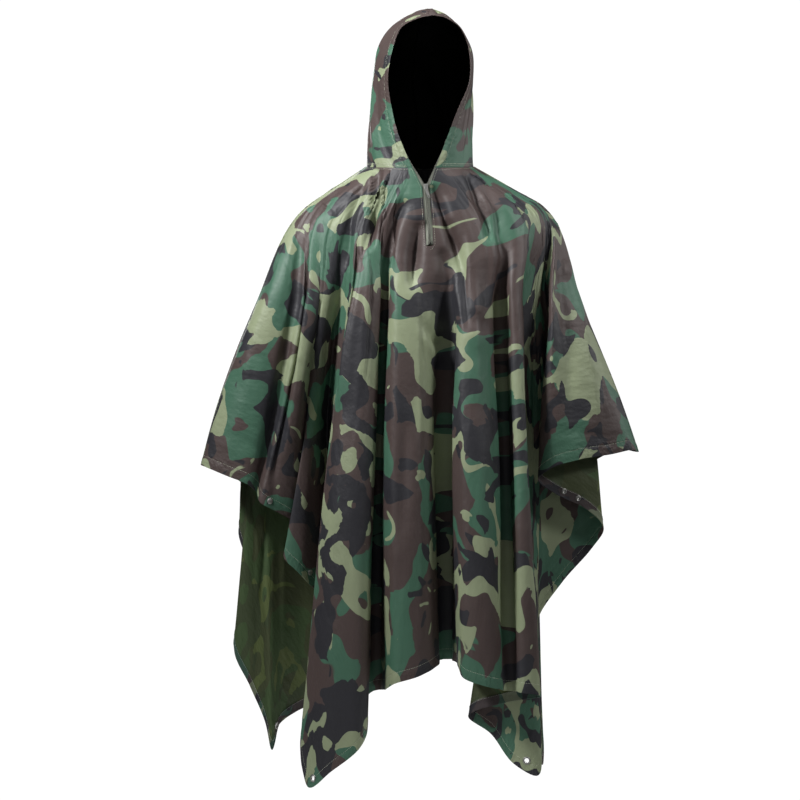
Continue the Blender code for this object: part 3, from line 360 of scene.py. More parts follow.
CREASE_STRENGTH = 1.15
CREASE_REACH = 90.0         # how far across the folds one crease can be felt
LAP_STEEP = 0.55            # times the width of a lapped crease, on its steep side
LAP_GENTLE = 4.5            # and on its gentle side
SMALL_WRINKLES = 260
FRONT_SEED = 5
BACK_SEED = 21
NOISE_CELLS = (97, 131)     # cells before the soft noise repeats

# Creases of the hood, on its left (-1) and right (1) half: places are (share from the neck seam to
# the top, share from the face opening to the centre seam)
HoodCrease = namedtuple("HoodCrease", "side rise width start middle end")
HOOD_CREASES = [
    HoodCrease(-1, -3.0, 7, (.03, .10), (.22, .17), (.44, .13)),
    HoodCrease(-1, 3.0, 8, (.02, .22), (.25, .26), (.52, .20)),
    HoodCrease(-1, -3.5, 9, (.02, .31), (.20, .36), (.40, .34)),
    HoodCrease(-1, 2.5, 10, (.45, .22), (.62, .30), (.84, .26)),
    HoodCrease(-1, -3.0, 11, (.10, .55), (.34, .50), (.60, .56)),
    HoodCrease(-1, 3.0, 12, (.05, .74), (.30, .70), (.55, .78)),
    HoodCrease(-1, -2.5, 8, (.60, .52), (.74, .60), (.90, .55)),
    HoodCrease(1, -3.0, 6, (.03, .12), (.20, .16), (.38, .11)),
    HoodCrease(1, -3.5, 8, (.02, .24), (.18, .22), (.36, .25)),
    HoodCrease(1, 3.0, 8, (.06, .34), (.26, .30), (.50, .33)),
    HoodCrease(1, -2.5, 10, (.42, .28), (.60, .34), (.80, .28)),
    HoodCrease(1, 3.0, 12, (.08, .58), (.32, .62), (.62, .55)),
    HoodCrease(1, -3.0, 10, (.04, .80), (.28, .76), (.50, .82)),
]

# Neck zip, placed by height on the zip line
ZIP_BOTTOM_Z = -166.0
ZIP_SLIDER_Z = -52.0
ZIP_HALF_SLIT = 7.5
ZIP_END_LENGTH = 3.0
ZIP_TOP_HALF = 23.0
ZIP_HOOD_SHARE = 1 / 7      # share of the hood's height that the zip runs up its edge
ZIP_SPREAD = 170.0
TAPE_UNDER = 7.0
TAPE_THICK = 0.8
ZIP_DEPTH = 2.0             # from the cloth's middle to the zip's
TOOTH_PITCH = 2.2
TOOTH_SIZE = (3.0, 1.15, 1.9)
TOOTH_BEVEL = 0.22

# Slider and pull tab
SLIDER_WIDTH = 9.0
SLIDER_LENGTH = 11.0
SLIDER_PLATE = 1.1
SLIDER_CHANNEL = 3.0
BRIDGE_WIDTH = 1.8
BRIDGE_LEG = 1.0
BRIDGE_SPAN = 5.0
BRIDGE_CLEAR = 2.6
BRIDGE_BAR = 1.0
PULL_WIDTH = 5.0
PULL_LENGTH = 23.0
PULL_THICK = 1.1
PULL_RAIL = 1.1
PULL_TILT = 16.0
STOP_SIZE = (6.0, 1.2, 3.4)

# Fittings, as (radius, height) profiles from the axis of the piece
EYELET_HOLE = 4.5
EYELET_FLANGE = 7.6
STUD_RADIUS = 5.8
CLOTH_HOLE = 5.9
TURN_STEPS = 48
FITTINGS = {
    "front": ["eyelet_front_left", "eyelet_front_right",
              "press_stud_1", "press_stud_2", "press_stud_3", "press_stud_4"],
    "back": ["eyelet_back_left", "eyelet_back_right",
             "press_stud_5", "press_stud_6", "press_stud_7", "press_stud_8"],
}

# Flat cut of a panel: half the width across the arms, and the length from neck centre to hem
CUT_HALF_WIDTH = 800.0
CUT_LENGTH = 1080.0

# Mesh rows: distances from the hem, and shares of the way from neck to hem
HEM_ROWS = (32, 26, 22.5, 21, 20, 19, 17, 12, 6, 1.5, 0)
HEM_WIDTH = 20.0
NECK_ROWS = (0, 0.0016, 0.0032, 0.0048, 0.0064, 0.009, 0.013)

# Print: blots as (offset in the endless pattern, scale, level that they stand above, wander)
PRINT = {
    "brown": ((43.1, 37.4), 7.2, 0.480, 0.14),
    "khaki": ((11.7, 82.9), 8.8, 0.612, 0.15),
    "black beside khaki": ((11.721, 82.876), 8.8, 0.600, 0.15),
    "parts with that black": ((11.3, 9.6), 6.4, 0.48, 0.10),
    "loose black": ((18.9, 4.4), 9.6, 0.640, 0.13),
}
BLOT_EDGE = 0.0025          # half the ramp at a blot's edge, in the noise's range
NECK_PAINTED_SHADE = (0.13, 0.22)  # metres from the neck's centre where the painted shade at the neck thins out
METAL_WEAR = 240.0          # scale of the wear on metal

# Felled seams and stitching, by distance from the seam or the edge
SEAM_WALL = 0.5
SEAM_LIFT = 0.3
SEAM_POINTS = 170
HOOD_SEAM_HALF = 4.5
ARM_SEAM_HALF = 5.0
NO_HEM = 500.0              # distance to the hem that keeps hem marks off a piece
ZIP_STITCH = 3.2
ZIP_END_DROP = 7.0          # how far the rounded line of stitches goes below the zip
EDGE_STITCH = 4.0
HOOD_SEAM_STITCH = 3.6
NECK_STITCHES = (3.5, 6.5)
NECK_THREAD = 1.6           # times the thickness of the other thread

# Studio: lights as (name, place, aim, size, spread in degrees, power)
LIGHTS = (
    ("key", (-2.3, -1.7, 1.9), (0, 0, 0.1), 0.6, 60, 21),
    ("side", (2.5, -1.4, 1.5), (0, 0, 0.1), 0.7, 60, 7),
    ("fill", (0.2, -4.0, 0.6), (0, 0, -0.1), 1.2, 180, 3.5),
    ("top", (0.1, -0.4, 2.2), (0, 0, -0.4), 1.4, 180, 19),
    ("back", (-0.5, 3.5, 0.5), (0, 0, -0.3), 1.6, 120, 42),
    ("back side", (2.7, 1.0, 0.6), (0, 0, -0.2), 1.2, 120, 7),
)
FLOOR_RADIUS = 1.2
FLOOR_Z = -1.5
WORLD_LIGHT = 0.05
WORLD_SEEN = 1.05
CAMERA_PLACE = (-0.04, -4.7, -0.468)
CAMERA_LENS = 105.75
CAMERA_SENSOR = 36.0


class PonchoSizes(bpy.types.PropertyGroup):
    """Sizes of the cloth's finish."""

    cloth: FloatProperty(
        name="Cloth", description="Thickness of the coated cloth", default=0.0009, unit="LENGTH",
    )
    hem_fold: FloatProperty(
        name="Hem fold", description="Extra thickness inside the turned hems", default=0.0007,
        unit="LENGTH",
    )
    columns: IntProperty(
        name="Columns", description="Mesh columns across one panel", default=440,
    )
    row_pitch: FloatProperty(
        name="Row pitch", description="Distance between mesh rows down a panel", default=0.0125,
        unit="LENGTH",
    )
    ripple: FloatProperty(
        name="Ripple", description="Height of the soft ripples between the folds", default=0.0016,
        unit="LENGTH",
    )
    stitch_pitch: FloatProperty(
        name="Stitch pitch", description="Distance from stitch to stitch", default=0.0034,
        unit="LENGTH",
    )
    thread: FloatProperty(
        name="Thread", description="Thickness of the sewing thread", default=0.0006, unit="LENGTH",
    )


def colour_property(name, description, default):
    """A colour swatch for the sidebar."""
    return FloatVectorProperty(
        name=name, description=description, subtype="COLOR", size=4, min=0, max=1, default=default,
    )


class PonchoColours(bpy.types.PropertyGroup):
    """Colours of the print and the trimmings."""

    khaki: colour_property("Khaki", "Light areas of the print", (0.245, 0.285, 0.175, 1))
    green: colour_property("Green", "Mid green areas of the print", (0.048, 0.124, 0.080, 1))
    brown: colour_property("Brown", "Brown areas of the print", (0.062, 0.043, 0.040, 1))
    black: colour_property("Black", "Dark areas of the print", (0.020, 0.020, 0.025, 1))
    inside: colour_property("Inside", "Coated inner side", (0.046, 0.066, 0.026, 1))
    # Near-black painted shade, used inside the hood and at the neck for the shade there, not a cloth
    # colour
    hood_inside: colour_property("Hood inside", "Inner side of the hood", (0.0012, 0.0013, 0.0011, 1))
    thread: colour_property("Thread", "Sewing thread", (0.50, 0.53, 0.42, 1))
    tape: colour_property("Zip tape", "Woven tape of the zip", (0.25, 0.265, 0.22, 1))
    teeth: colour_property("Zip teeth", "Moulded teeth of the zip", (0.24, 0.25, 0.21, 1))
    metal: colour_property("Metal", "Eyelets, slider and pull", (0.42, 0.42, 0.40, 1))
    stop: colour_property("Zip stop", "Blackened end stop", (0.045, 0.045, 0.042, 1))
    floor: colour_property("Floor", "Pale studio floor", (0.84, 0.84, 0.84, 1))


def sizes():
    """The scene's sizes, as set in the sidebar."""
    return bpy.context.scene.poncho_sizes


def colours():
    """The scene's colours, as set in the sidebar."""
    return bpy.context.scene.poncho_colours


# Shapes that the pieces share

def curve_through(knots, points, at):
    """Smooth cubic curve through points at rising knots, read at the given places."""
    knots = np.asarray(knots, float)
    points = np.asarray(points, float)
    at = np.atleast_1d(np.asarray(at, float))
    gaps = np.diff(knots)
    weights = gaps.reshape(-1, *[1] * (points.ndim - 1))
    slopes = np.diff(points, axis=0) / weights
    middle = (weights[1:] * slopes[:-1] + weights[:-1] * slopes[1:]) / (weights[1:] + weights[:-1])
    tangents = np.concatenate([slopes[:1], middle, slopes[-1:]])
    index = np.clip(np.searchsorted(knots, at, side="right") - 1, 0, len(gaps) - 1)
    shape = (-1, *[1] * (points.ndim - 1))
    gap = gaps[index].reshape(shape)
    t = ((at - knots[index]) / gaps[index]).reshape(shape)
    low, high = points[index], points[index + 1]
    return (
        (1 + 2 * t) * (1 - t) ** 2 * low
        + t * (1 - t) ** 2 * gap * tangents[index]
        + t**2 * (3 - 2 * t) * high
        + t**2 * (t - 1) * gap * tangents[index + 1]
    )


def smooth_step(x):
    """0 up to 0, 1 from 1 on, and a soft curve between."""
    x = np.clip(x, 0.0, 1.0)
    return x * x * (3 - 2 * x)


def bell(values, middle, width):
    """1 at the middle, and falling to nothing on both sides."""
    return np.exp(-((values - middle) / width) ** 2)


def unit(v):
    """Vectors at length 1."""
    return v / np.maximum(np.linalg.norm(v, axis=-1, keepdims=True), 1e-12)


def run_along(points, axis):
    """Distance run to each point of a grid, or of a line, from the first one on that axis."""
    first = np.take(points, [0], axis=axis)
    return np.cumsum(np.linalg.norm(np.diff(points, axis=axis, prepend=first), axis=-1), axis=axis)


def read_along(places, run, values):
    """Vectors read off a line of them at the given distances."""
    return np.stack([np.interp(places, run, values[:, k]) for k in range(3)], axis=1)


def resampled(line, count):
    """The line as evenly spaced points."""
    run = run_along(line, 0)
    return read_along(np.linspace(0, run[-1], count), run, line)


def soft_noise(x, y, seed):
    """Smooth seeded noise from -1 to 1 over a lattice of unit cells."""
    wide, high = NOISE_CELLS
    table = np.random.default_rng(seed).uniform(-1, 1, NOISE_CELLS)
    low_x, low_y = np.floor(x).astype(int), np.floor(y).astype(int)
    share_x, share_y = smooth_step(x - low_x), smooth_step(y - low_y)
    corners = [table[(low_x + i) % wide, (low_y + j) % high] for i in (0, 1) for j in (0, 1)]
    left = corners[0] + (corners[1] - corners[0]) * share_y
    right = corners[2] + (corners[3] - corners[2]) * share_y
    return left + (right - left) * share_x


def on_neck(deg):
    """Point of the neck ring. 180 is at the left and 270 the front."""
    a = math.radians(deg)
    return np.array([
        NECK_HALF_WIDTH * math.cos(a),
        NECK_CENTRE_Y + NECK_HALF_DEPTH * math.sin(a),
        NECK_CENTRE_Z + NECK_DIP * math.sin(a),
    ])


def twisted(deg):
    """Neck angle of a fold line: the hood's turn carries the front and back round, not the sides."""
    return deg + NECK_TWIST * abs(math.sin(math.radians(deg)))


def panel_neck(deg):
    """Neck edge of the panels, a step outside and below the hood's edge."""
    a = math.radians(deg)
    out = np.array([math.cos(a) * NECK_STEP_OUT, math.sin(a) * NECK_STEP_OUT, -NECK_STEP_DOWN])
    return on_neck(deg) + out


def on_yoke(deg):
    """Point of the shoulder ring."""
    a = math.radians(deg)
    back = math.sin(a) > 0
    return np.array([
        YOKE_CENTRE_X + YOKE_HALF_WIDTH * math.cos(a),
        (YOKE_BACK if back else YOKE_FRONT) * math.sin(a),
        YOKE_Z + (YOKE_BACK_RISE if back else -YOKE_FRONT_DROP) * abs(math.sin(a)),
    ])


def figure_y(x, half_width, front, back, is_back):
    """Depth of the general figure's oval section at x, negative in front."""
    share = math.sqrt(max(0.0, 1.0 - (x / half_width) ** 2))
    return back * share if is_back else -front * share


def fold_line(fold, samples=61):
    """A fold line as evenly spaced points: neck, slope, yoke, chest, waist and hem, rounded."""
    is_back = fold.yoke_deg < 180
    yoke = on_yoke(fold.yoke_deg)
    chest_x = yoke[0] + (fold.waist_x - yoke[0]) * CHEST_SHARE
    waist_body = figure_y(fold.waist_x, WAIST_HALF_WIDTH, WAIST_FRONT, WAIST_BACK, is_back)
    chest_body = figure_y(chest_x, CHEST_HALF_WIDTH, CHEST_FRONT, CHEST_BACK, is_back)
    chest_y = chest_body + (fold.waist_y - waist_body) * CHEST_FOLD_SHARE
    if abs(fold.waist_y) < 1:
        chest_y = 0.0
    if fold.chest:
        chest_x, chest_y = fold.chest
    neck = panel_neck(twisted(fold.yoke_deg))
    stations = np.array([
        neck,
        neck + (yoke - neck) * STRAIGHT_SHARE,
        yoke,
        (chest_x, chest_y, CHEST_Z),
        (fold.waist_x, fold.waist_y, WAIST_Z),
        (fold.hem_x, fold.hem_y, fold.hem_z),
    ])
    knots = run_along(stations, 0)
    dense = curve_through(knots, stations, np.linspace(0, knots[-1], 4 * samples))
    return resampled(dense, samples)


class Panel:
    """A cut piece as a smooth surface: u runs across the fold lines, v from neck 0 to hem 1."""

    def __init__(self, folds, seam_shift, corners, front):
        self.names = [fold.name for fold in folds]
        self.lines = np.array([fold_line(fold) for fold in folds])
        for end in (0, -1):
            self.lines[end][:, 1] += seam_shift
        steps = np.linalg.norm(np.diff(self.lines, axis=0), axis=2)
        self.knots = np.concatenate([[0], np.cumsum(0.5 * (steps.mean(axis=1) + steps[:, -1]))])
        self.lengths = np.linalg.norm(np.diff(self.lines, axis=1), axis=2).sum(axis=1)
        self.stations = np.linspace(0, 1, self.lines.shape[1])
        self.cut = self.flat_hem(steps[:, -1], corners, -1 if front else 1)

    def flat_hem(self, steps, corners, way):
        """Where each fold line meets the edge of the flat cut."""
        run = np.concatenate([[0], np.cumsum(steps)])
        turns = [run[self.names.index(name)] for name in corners]
        sides = [0, CUT_LENGTH, CUT_LENGTH + 2 * CUT_HALF_WIDTH, 2 * CUT_LENGTH + 2 * CUT_HALF_WIDTH]
        along = np.interp(run, [0, *turns, run[-1]], sides)
        x = np.interp(along, sides, [-CUT_HALF_WIDTH, -CUT_HALF_WIDTH, CUT_HALF_WIDTH, CUT_HALF_WIDTH])
        y = np.interp(along, sides, [0, CUT_LENGTH, CUT_LENGTH, 0]) * way
        return np.stack([x, y], axis=1)

    def place(self, name):
        """The u of a named fold line."""
        return self.knots[self.names.index(name)]

    def points(self, us, vs):
        """Points at several u, and at one v or a v for each fold line."""
        vs = np.broadcast_to(np.clip(vs, 0, 1), len(self.knots))
        spot = vs * (len(self.stations) - 1)
        low = np.minimum(spot.astype(int), len(self.stations) - 2)
        line = np.arange(len(self.knots))
        start, end = self.lines[line, low], self.lines[line, low + 1]
        return curve_through(self.knots, start + (end - start) * (spot - low)[:, None], us)

    def flat(self, us, vs):
        """Places on the flat cut, in millimetres from the neck's centre."""
        hem = np.stack([np.interp(us, self.knots, self.cut[:, k]) for k in (0, 1)], axis=1)
        neck = unit(hem) * NECK_HALF_WIDTH
        return neck + (hem - neck) * vs[:, None]

    def rows(self, upper, pitch):
        """A v for each fold line in every row: the given ones, then even ones, then the hem's."""
        start = upper[-1]
        body = 1 - HEM_ROWS[0] / self.lengths
        count = int((1 - start) * self.lengths.mean() / pitch)
        rows = [np.full(len(self.knots), v) for v in upper]
        rows += [start + (body - start) * (k + 1) / count for k in range(count - 1)]
        rows += [1 - down / self.lengths for down in HEM_ROWS]
        return rows


FRONT_PANEL = Panel(FRONT, -SHOULDER_GAP / 2, ("front_left_corner", "front_right_corner"), True)
BACK_PANEL = Panel(BACK, SHOULDER_GAP / 2, ("back_left_corner", "back_right_corner"), False)
ZIP_U = FRONT_PANEL.place("zip_line")


def zip_v(z):
    """The v of the zip line at one height."""
    line = FRONT_PANEL.lines[FRONT_PANEL.names.index("zip_line")]
    return float(np.interp(-z, -line[:, 2], FRONT_PANEL.stations))


ZIP_BOTTOM_V = zip_v(ZIP_BOTTOM_Z)
ZIP_CLOSED_V = zip_v(ZIP_BOTTOM_Z - ZIP_END_LENGTH)
ZIP_SLIDER_V = zip_v(ZIP_SLIDER_Z)


def half_slit(v):
    """Distance from the zip's middle line to the edge of the cloth, with a rounded lower end."""
    if v > ZIP_BOTTOM_V:
        down = min(1.0, (v - ZIP_BOTTOM_V) / (ZIP_CLOSED_V - ZIP_BOTTOM_V))
        return ZIP_HALF_SLIT * math.sqrt(max(0.0, 1 - down * down))
    if v > ZIP_SLIDER_V:
        return ZIP_HALF_SLIT
    return ZIP_HALF_SLIT + (ZIP_TOP_HALF - ZIP_HALF_SLIT) * (1 - v / ZIP_SLIDER_V)


def slit_u(v, side):
    """The u of the cloth's zip edge on one side, -1 left and 1 right."""
    wanted = half_slit(v)
    if wanted <= 1e-9:
        return ZIP_U
    reach = np.linspace(0, ZIP_SPREAD, 60)
    points = FRONT_PANEL.points(ZIP_U + side * reach, v)
    far = np.linalg.norm(points - points[0], axis=1)
    return ZIP_U + side * float(np.interp(wanted, far, reach))


def pushed_aside(us, v, side):
    """Moves a half panel's columns away from the open zip, the nearest ones most."""
    gap = abs(slit_u(v, side) - ZIP_U)
    off = np.abs(us - ZIP_U)
    moved = np.where(off < ZIP_SPREAD, gap + off * (1 - gap / ZIP_SPREAD), off)
    return ZIP_U + side * moved


def grid_normals(points, toward):
    """Unit normals of a grid of points, turned so that most look along toward."""
    across = np.gradient(points, axis=1)
    down = np.gradient(points, axis=0)
    cross = np.cross(across, down)
    if (cross.sum(axis=(0, 1)) * toward).sum() < 0:
        cross = -cross
    return unit(cross)


def crease_height(creases, panel, us, vs, across, length):
    """Outward height of a panel's creases at every grid point."""
    total = np.zeros_like(us)
    for crease in creases:
        stops = [stop for stop in (crease.start, crease.middle, crease.end) if stop]
        places = [(panel.place(name) + shift, v) for name, shift, v in stops]
        u, v = (np.array(values, float) for values in zip(*places))
        share = (vs - v[0]) / (v[-1] - v[0])
        inside = (share > 0) & (share < 1)
        line_u = np.interp(vs, v, u) if len(u) < 3 else np.polyval(np.polyfit(v, u, 2), vs)
        slope = (u[-1] - u[0]) / (v[-1] - v[0]) * across / length
        off = (us - line_u) * across / np.sqrt(1 + slope**2)
        near = inside & (np.abs(us - line_u) < CREASE_REACH)
        fade = np.sin(np.pi * np.clip(share, 0, 1)) ** 0.6
        sharpness = 1.3 if crease.width < 10 else 1.7
        width = np.full_like(off, crease.width)
        if crease.lap:
            width *= np.where(off * crease.lap > 0, LAP_GENTLE, LAP_STEEP)
        shape = np.exp(-np.abs(off / width) ** sharpness)
        total += np.where(near, CREASE_STRENGTH * crease.rise * shape * fade, 0)
    return total


def crumple_height(panel, us, vs, across, length, seed):
    """Small seeded wrinkles between the main creases, most of them nearly upright."""
    chance = np.random.default_rng(seed)
    total = np.zeros_like(us)
    for _ in range(SMALL_WRINKLES):
        u0 = chance.uniform(panel.knots[0] + 40, panel.knots[-1] - 40)
        v0 = chance.uniform(0.06, 0.96)
        reach = chance.uniform(22, 75)
        lean = math.radians(chance.normal(0, 24))
        bend = chance.uniform(-0.004, 0.004)
        width = chance.uniform(3.0, 6.0)
        rise = chance.uniform(0.5, 1.5) * chance.choice([-1, 1])
        near = np.abs(us - u0) < 140
        x = np.where(near, (us - u0) * across, 1e3)
        y = (vs - v0) * length
        along = y * math.cos(lean) + x * math.sin(lean)
        off = x * math.cos(lean) - y * math.sin(lean) + bend * along**2
        shape = np.exp(-np.abs(off / width) ** 1.3) * np.exp(-(along / reach) ** 2)
        total += rise * shape
    return total


Cloth = namedtuple("Cloth", "points normals place vs")


def panel_cloth(panel, us, rows, creases, toward, seed):
    """A panel's finished surface on a grid, with its creases and soft ripples."""
    points = np.array([panel.points(u, v) for u, v in zip(us, rows)])
    vs = np.array([np.interp(u, panel.knots, v) for u, v in zip(us, rows)])
    lengths = np.array([np.interp(u, panel.knots, panel.lengths) for u in us])
    flat = np.array([panel.flat(u, v) for u, v in zip(us, vs)])
    hem = (1 - vs) * lengths
    normals = grid_normals(points, toward)
    steps = np.linalg.norm(np.gradient(points, axis=1), axis=2)
    across = steps / np.maximum(np.gradient(us, axis=1), 1e-6)
    height = crease_height(creases, panel, us, vs, across, lengths)
    height += crumple_height(panel, us, vs, across, lengths, seed + 7)
    drift = 0.8 * soft_noise(vs * 3.1, us / 300, seed + 1)
    ripple = soft_noise(us / 44 + drift, vs * 2.3, seed)
    ripple += 0.42 * soft_noise(us / 19 + 2 * drift, vs * 4.1, seed + 2)
    ramp = smooth_step(vs / 0.06) * np.minimum(1, across * 1.6)
    height += sizes().ripple / MM * ripple * ramp
    height += 0.5 * bell(hem, HEM_WIDTH / 2, 7) - 0.35 * bell(hem, HEM_WIDTH, 1.2)
    height += 0.4 * bell(vs * lengths, 2, 2.2)
    points = points + normals * height[..., None]
    place = np.concatenate([flat, hem[..., None]], axis=2)
    return Cloth(points, grid_normals(points, toward), place, vs)


def flattened(cloth, seats):
    """The cloth pressed flat under each fitting, given as (centre, normal)."""
    points = cloth.points.copy()
    for centre, normal in seats:
        off = points - centre
        high = off @ normal
        flat_off = np.linalg.norm(off - high[..., None] * normal, axis=2)
        share = (1 - smooth_step((flat_off - 9) / 8)) * (np.abs(high) < 9)
        points -= (high * share)[..., None] * normal
    return cloth._replace(points=points)


def seat_of(middle, cloth):
    """Where a fitting sits on the cloth: its solid's middle, brought to the surface."""
    far = np.linalg.norm(cloth.points - middle, axis=2)
    j, i = np.unravel_index(far.argmin(), far.shape)
    normal = cloth.normals[j, i]
    return middle - normal * ((middle - cloth.points[j, i]) @ normal), normal


def hood_ring_deg(a, side):
    """Neck angle under the hood's section at a, from the face opening to the centre back."""
    half = math.degrees(ZIP_TOP_HALF / NECK_HALF_WIDTH)
    start = twisted(271) + side * half
    end = 90 if side < 0 else 450
    return start + (end - start) * a


def hood_row(s, shares, side):
    """Points of one hood half at height share s, from the face opening to the centre seam."""
    table = np.array([row[1:] for row in HOOD], float)
    values = curve_through(np.linspace(0, 1, len(HOOD)), table, [s])[0]
    face_x, face_y, face_z, seam_y, seam_z, side_w, turn_deg, lean_x = values
    open_angle = math.asin(min(0.999, face_x / side_w))
    angle = open_angle + (math.pi - open_angle) * shares
    back = (math.cos(open_angle) - np.cos(angle)) / (math.cos(open_angle) + 1)
    x = side * (side_w * np.sin(angle) + SEAM_GAP / 2)
    y = face_y + (seam_y - face_y) * back
    z = face_z + (seam_z - face_z) * back
    turn = math.radians(turn_deg)
    turned = np.stack([
        x * math.cos(turn) - y * math.sin(turn) + lean_x, x * math.sin(turn) + y * math.cos(turn), z,
    ], axis=1)
    ring = np.array([on_neck(hood_ring_deg(a, side)) for a in shares])
    ring[:, 0] += side * SEAM_GAP / 2
    return ring + (turned - ring) * smooth_step(s / HOOD_BLEND)


def hood_cloth(side):
    """One hood half's finished surface on a grid, with its edge fold and creases."""
    toward = np.array([side, 0, 0])
    heights = np.concatenate([HOOD_FOOT_ROWS, np.linspace(0.036, 1, HOOD_ROWS)])
    edge = np.array(HOOD_EDGE_COLUMNS)
    shares = []
    for s in heights:
        coarse = hood_row(s, np.linspace(0, 1, 40), side)
        arc = np.linalg.norm(np.diff(coarse, axis=0), axis=1).sum()
        near = edge / max(arc, 60)
        rest = np.linspace(near[-1], 1, HOOD_COLUMNS - len(edge) + 1)[1:]
        shares.append(np.concatenate([near, rest]))
    shares = np.array(shares)
    points = np.array([hood_row(s, a, side) for s, a in zip(heights, shares)])
    shares = np.concatenate([shares[:1], shares])
    heights = np.concatenate([[0], heights])
    inwards = unit(points[0].mean(axis=0) - points[0])
    foot = points[:1] + inwards * HOOD_STEP_IN + (0, 0, -HOOD_ALLOWANCE)
    points = np.concatenate([foot, points])
    normals = grid_normals(points, toward)
    run, climb = run_along(points, 1), run_along(points, 0)
    level = np.repeat(heights[:, None], shares.shape[1], axis=1)
    height = np.zeros_like(shares)
    for crease in (c for c in HOOD_CREASES if c.side == side):
        stops = np.array([crease.start, crease.middle, crease.end], float)
        line = np.polyval(np.polyfit(stops[:, 0], stops[:, 1], 2), level)
        share = (level - stops[0, 0]) / (stops[-1, 0] - stops[0, 0])
        off = (shares - line) * run[:, -1:]
        fade = np.sin(np.pi * np.clip(share, 0, 1)) ** 0.7
        height += crease.rise * np.exp(-np.abs(off / crease.width) ** 1.6) * fade
    ripple = soft_noise(run / 34, climb / 120, HOOD_SEED + side)
    ripple += 0.5 * soft_noise(run / 15, climb / 60, HOOD_SEED + 4 + side)
    taper = smooth_step(level / 0.08) * smooth_step((1 - level) / 0.1)
    taper = taper * smooth_step((1 - shares) / 0.04)
    height = (height + HOOD_RIPPLE * ripple) * taper
    height += 0.9 * bell(run, 7, 6.5) - 0.5 * bell(run, HOOD_HEM, 1.2)
    points = points + normals * height[..., None]
    apart, up = HOOD_PRINT
    place = np.stack([run + (0 if side < 0 else apart), climb + up, run], axis=2)
    return Cloth(points, grid_normals(points, toward), place, level)


# Materials

class Value:
    """A shader value. Arithmetic on it adds Math nodes."""

    def __init__(self, paint, socket):
        self.paint = paint
        self.socket = socket

    def math(self, operation, *others):
        """This value and others through one Math node."""
        return self.paint.node(
            "ShaderNodeMath", {"operation": operation}, dict(enumerate((self, *others))), "Value",
        )

    def __add__(self, other):
        return self.math("ADD", other)

    def __rsub__(self, other):
        return self.paint.node(
            "ShaderNodeMath", {"operation": "SUBTRACT"}, {0: other, 1: self}, "Value",
        )

    def __mul__(self, other):
        return self.math("MULTIPLY", other)

    __radd__ = __add__
    __rmul__ = __mul__


class Paint:
    """The node tree of one material."""

    def __init__(self, name, constants):
        self.material = bpy.data.materials.new(name)
        self.material.use_nodes = True
        self.tree = self.material.node_tree
        self.shader = self.tree.nodes["Principled BSDF"]
        for socket, value in constants.items():
            self.shader.inputs[socket].default_value = value

    def node(self, kind, settings, sockets, out):
        """Adds a node, with its settings first, then values or links by socket name or number."""
        made = self.tree.nodes.new(kind)
        for key, value in settings.items():
            setattr(made, key, value)
        for key, value in sockets.items():
            if isinstance(value, Value):
                self.tree.links.new(value.socket, made.inputs[key])
            else:
                made.inputs[key].default_value = value
        return Value(self, made.outputs[out])

    def noise(self, place, scale, detail=0.0, roughness=0.5, flat=True, out="Fac"):
        """Noise over a place, on the flat or through the solid."""
        settings = {"noise_dimensions": "2D" if flat else "3D", "normalize": True}
        sockets = {"Vector": place, "Scale": scale, "Detail": detail, "Roughness": roughness}
        return self.node("ShaderNodeTexNoise", settings, sockets, out)

    def moved(self, place, scale=(1, 1, 1), offset=(0, 0, 0)):
        """A place, scaled and then shifted."""
        sockets = {"Vector": place, "Scale": scale, "Location": offset}
        return self.node("ShaderNodeMapping", {}, sockets, "Vector")

    def step(self, value, low, high):
        """0 below low and 1 above high, with an even ramp between."""
        return self.node(
            "ShaderNodeMapRange", {}, {"Value": value, "From Min": low, "From Max": high}, "Result",
        )

    def mix(self, share, first, second, blend="MIX"):
        """Colour mix: first where share is 0, second where it is 1."""
        sockets = {"Factor": share, 6: first, 7: second}
        return self.node("ShaderNodeMix", {"data_type": "RGBA", "blend_type": blend}, sockets, 2)

    def vectors(self, operation, *values, out="Vector"):
        """Vector arithmetic on places or colours."""
        settings = {"operation": operation}
        return self.node("ShaderNodeVectorMath", settings, dict(enumerate(values)), out)

    def object_place(self):
        """Place in the object's own space, in metres."""
        return self.node("ShaderNodeTexCoord", {}, {}, "Object")

    def hem_distance(self, place):
        """Distance to the hem, kept as the third value of a place on the cut."""
        return self.node("ShaderNodeSeparateXYZ", {}, {0: place}, "Z")

    def put(self, socket, value):
        """Leads a value into the shader."""
        self.tree.links.new(value.socket, self.shader.inputs[socket])

    def bump(self, height, distance, under=None):
        """Normal from a height, in metres. under is the normal that it stands on."""
        sockets = {"Height": height, "Distance": distance, "Strength": 1.0}
        if under:
            sockets["Normal"] = under
        return self.node("ShaderNodeBump", {}, sockets, "Normal")


def cloth_place(paint):
    """Places on the flat cut, in metres, with the distance to the hem as the third value."""
    return paint.node("ShaderNodeAttribute", {"attribute_name": "cloth_place"}, {}, "Vector")


def warped(paint, place, scale, amount, detail=0.0):
    """A place shifted about by slow noise, so that the outlines wander."""
    drift = paint.noise(place, scale, detail, 0.5, out="Color")
    centred = paint.vectors("SUBTRACT", drift, (0.5, 0.5, 0.5))
    shift = paint.vectors("MULTIPLY", centred, (amount, amount, 0))
    return paint.vectors("ADD", place, shift)


def blots(paint, place, offset, scale, above, wander):
    """Mask of one printed colour: blots where the noise is above a level, with wandering edges.

    The offset picks another part of the endless pattern, and a slow and a fine warp bend it.
    """
    spot = paint.moved(place, offset=(*offset, 0))
    spot = warped(paint, spot, scale * 1.7, wander)
    spot = warped(paint, spot, scale * 4.5, wander * 0.13, 1.0)
    return paint.step(paint.noise(spot, scale), above - BLOT_EDGE, above + BLOT_EDGE)


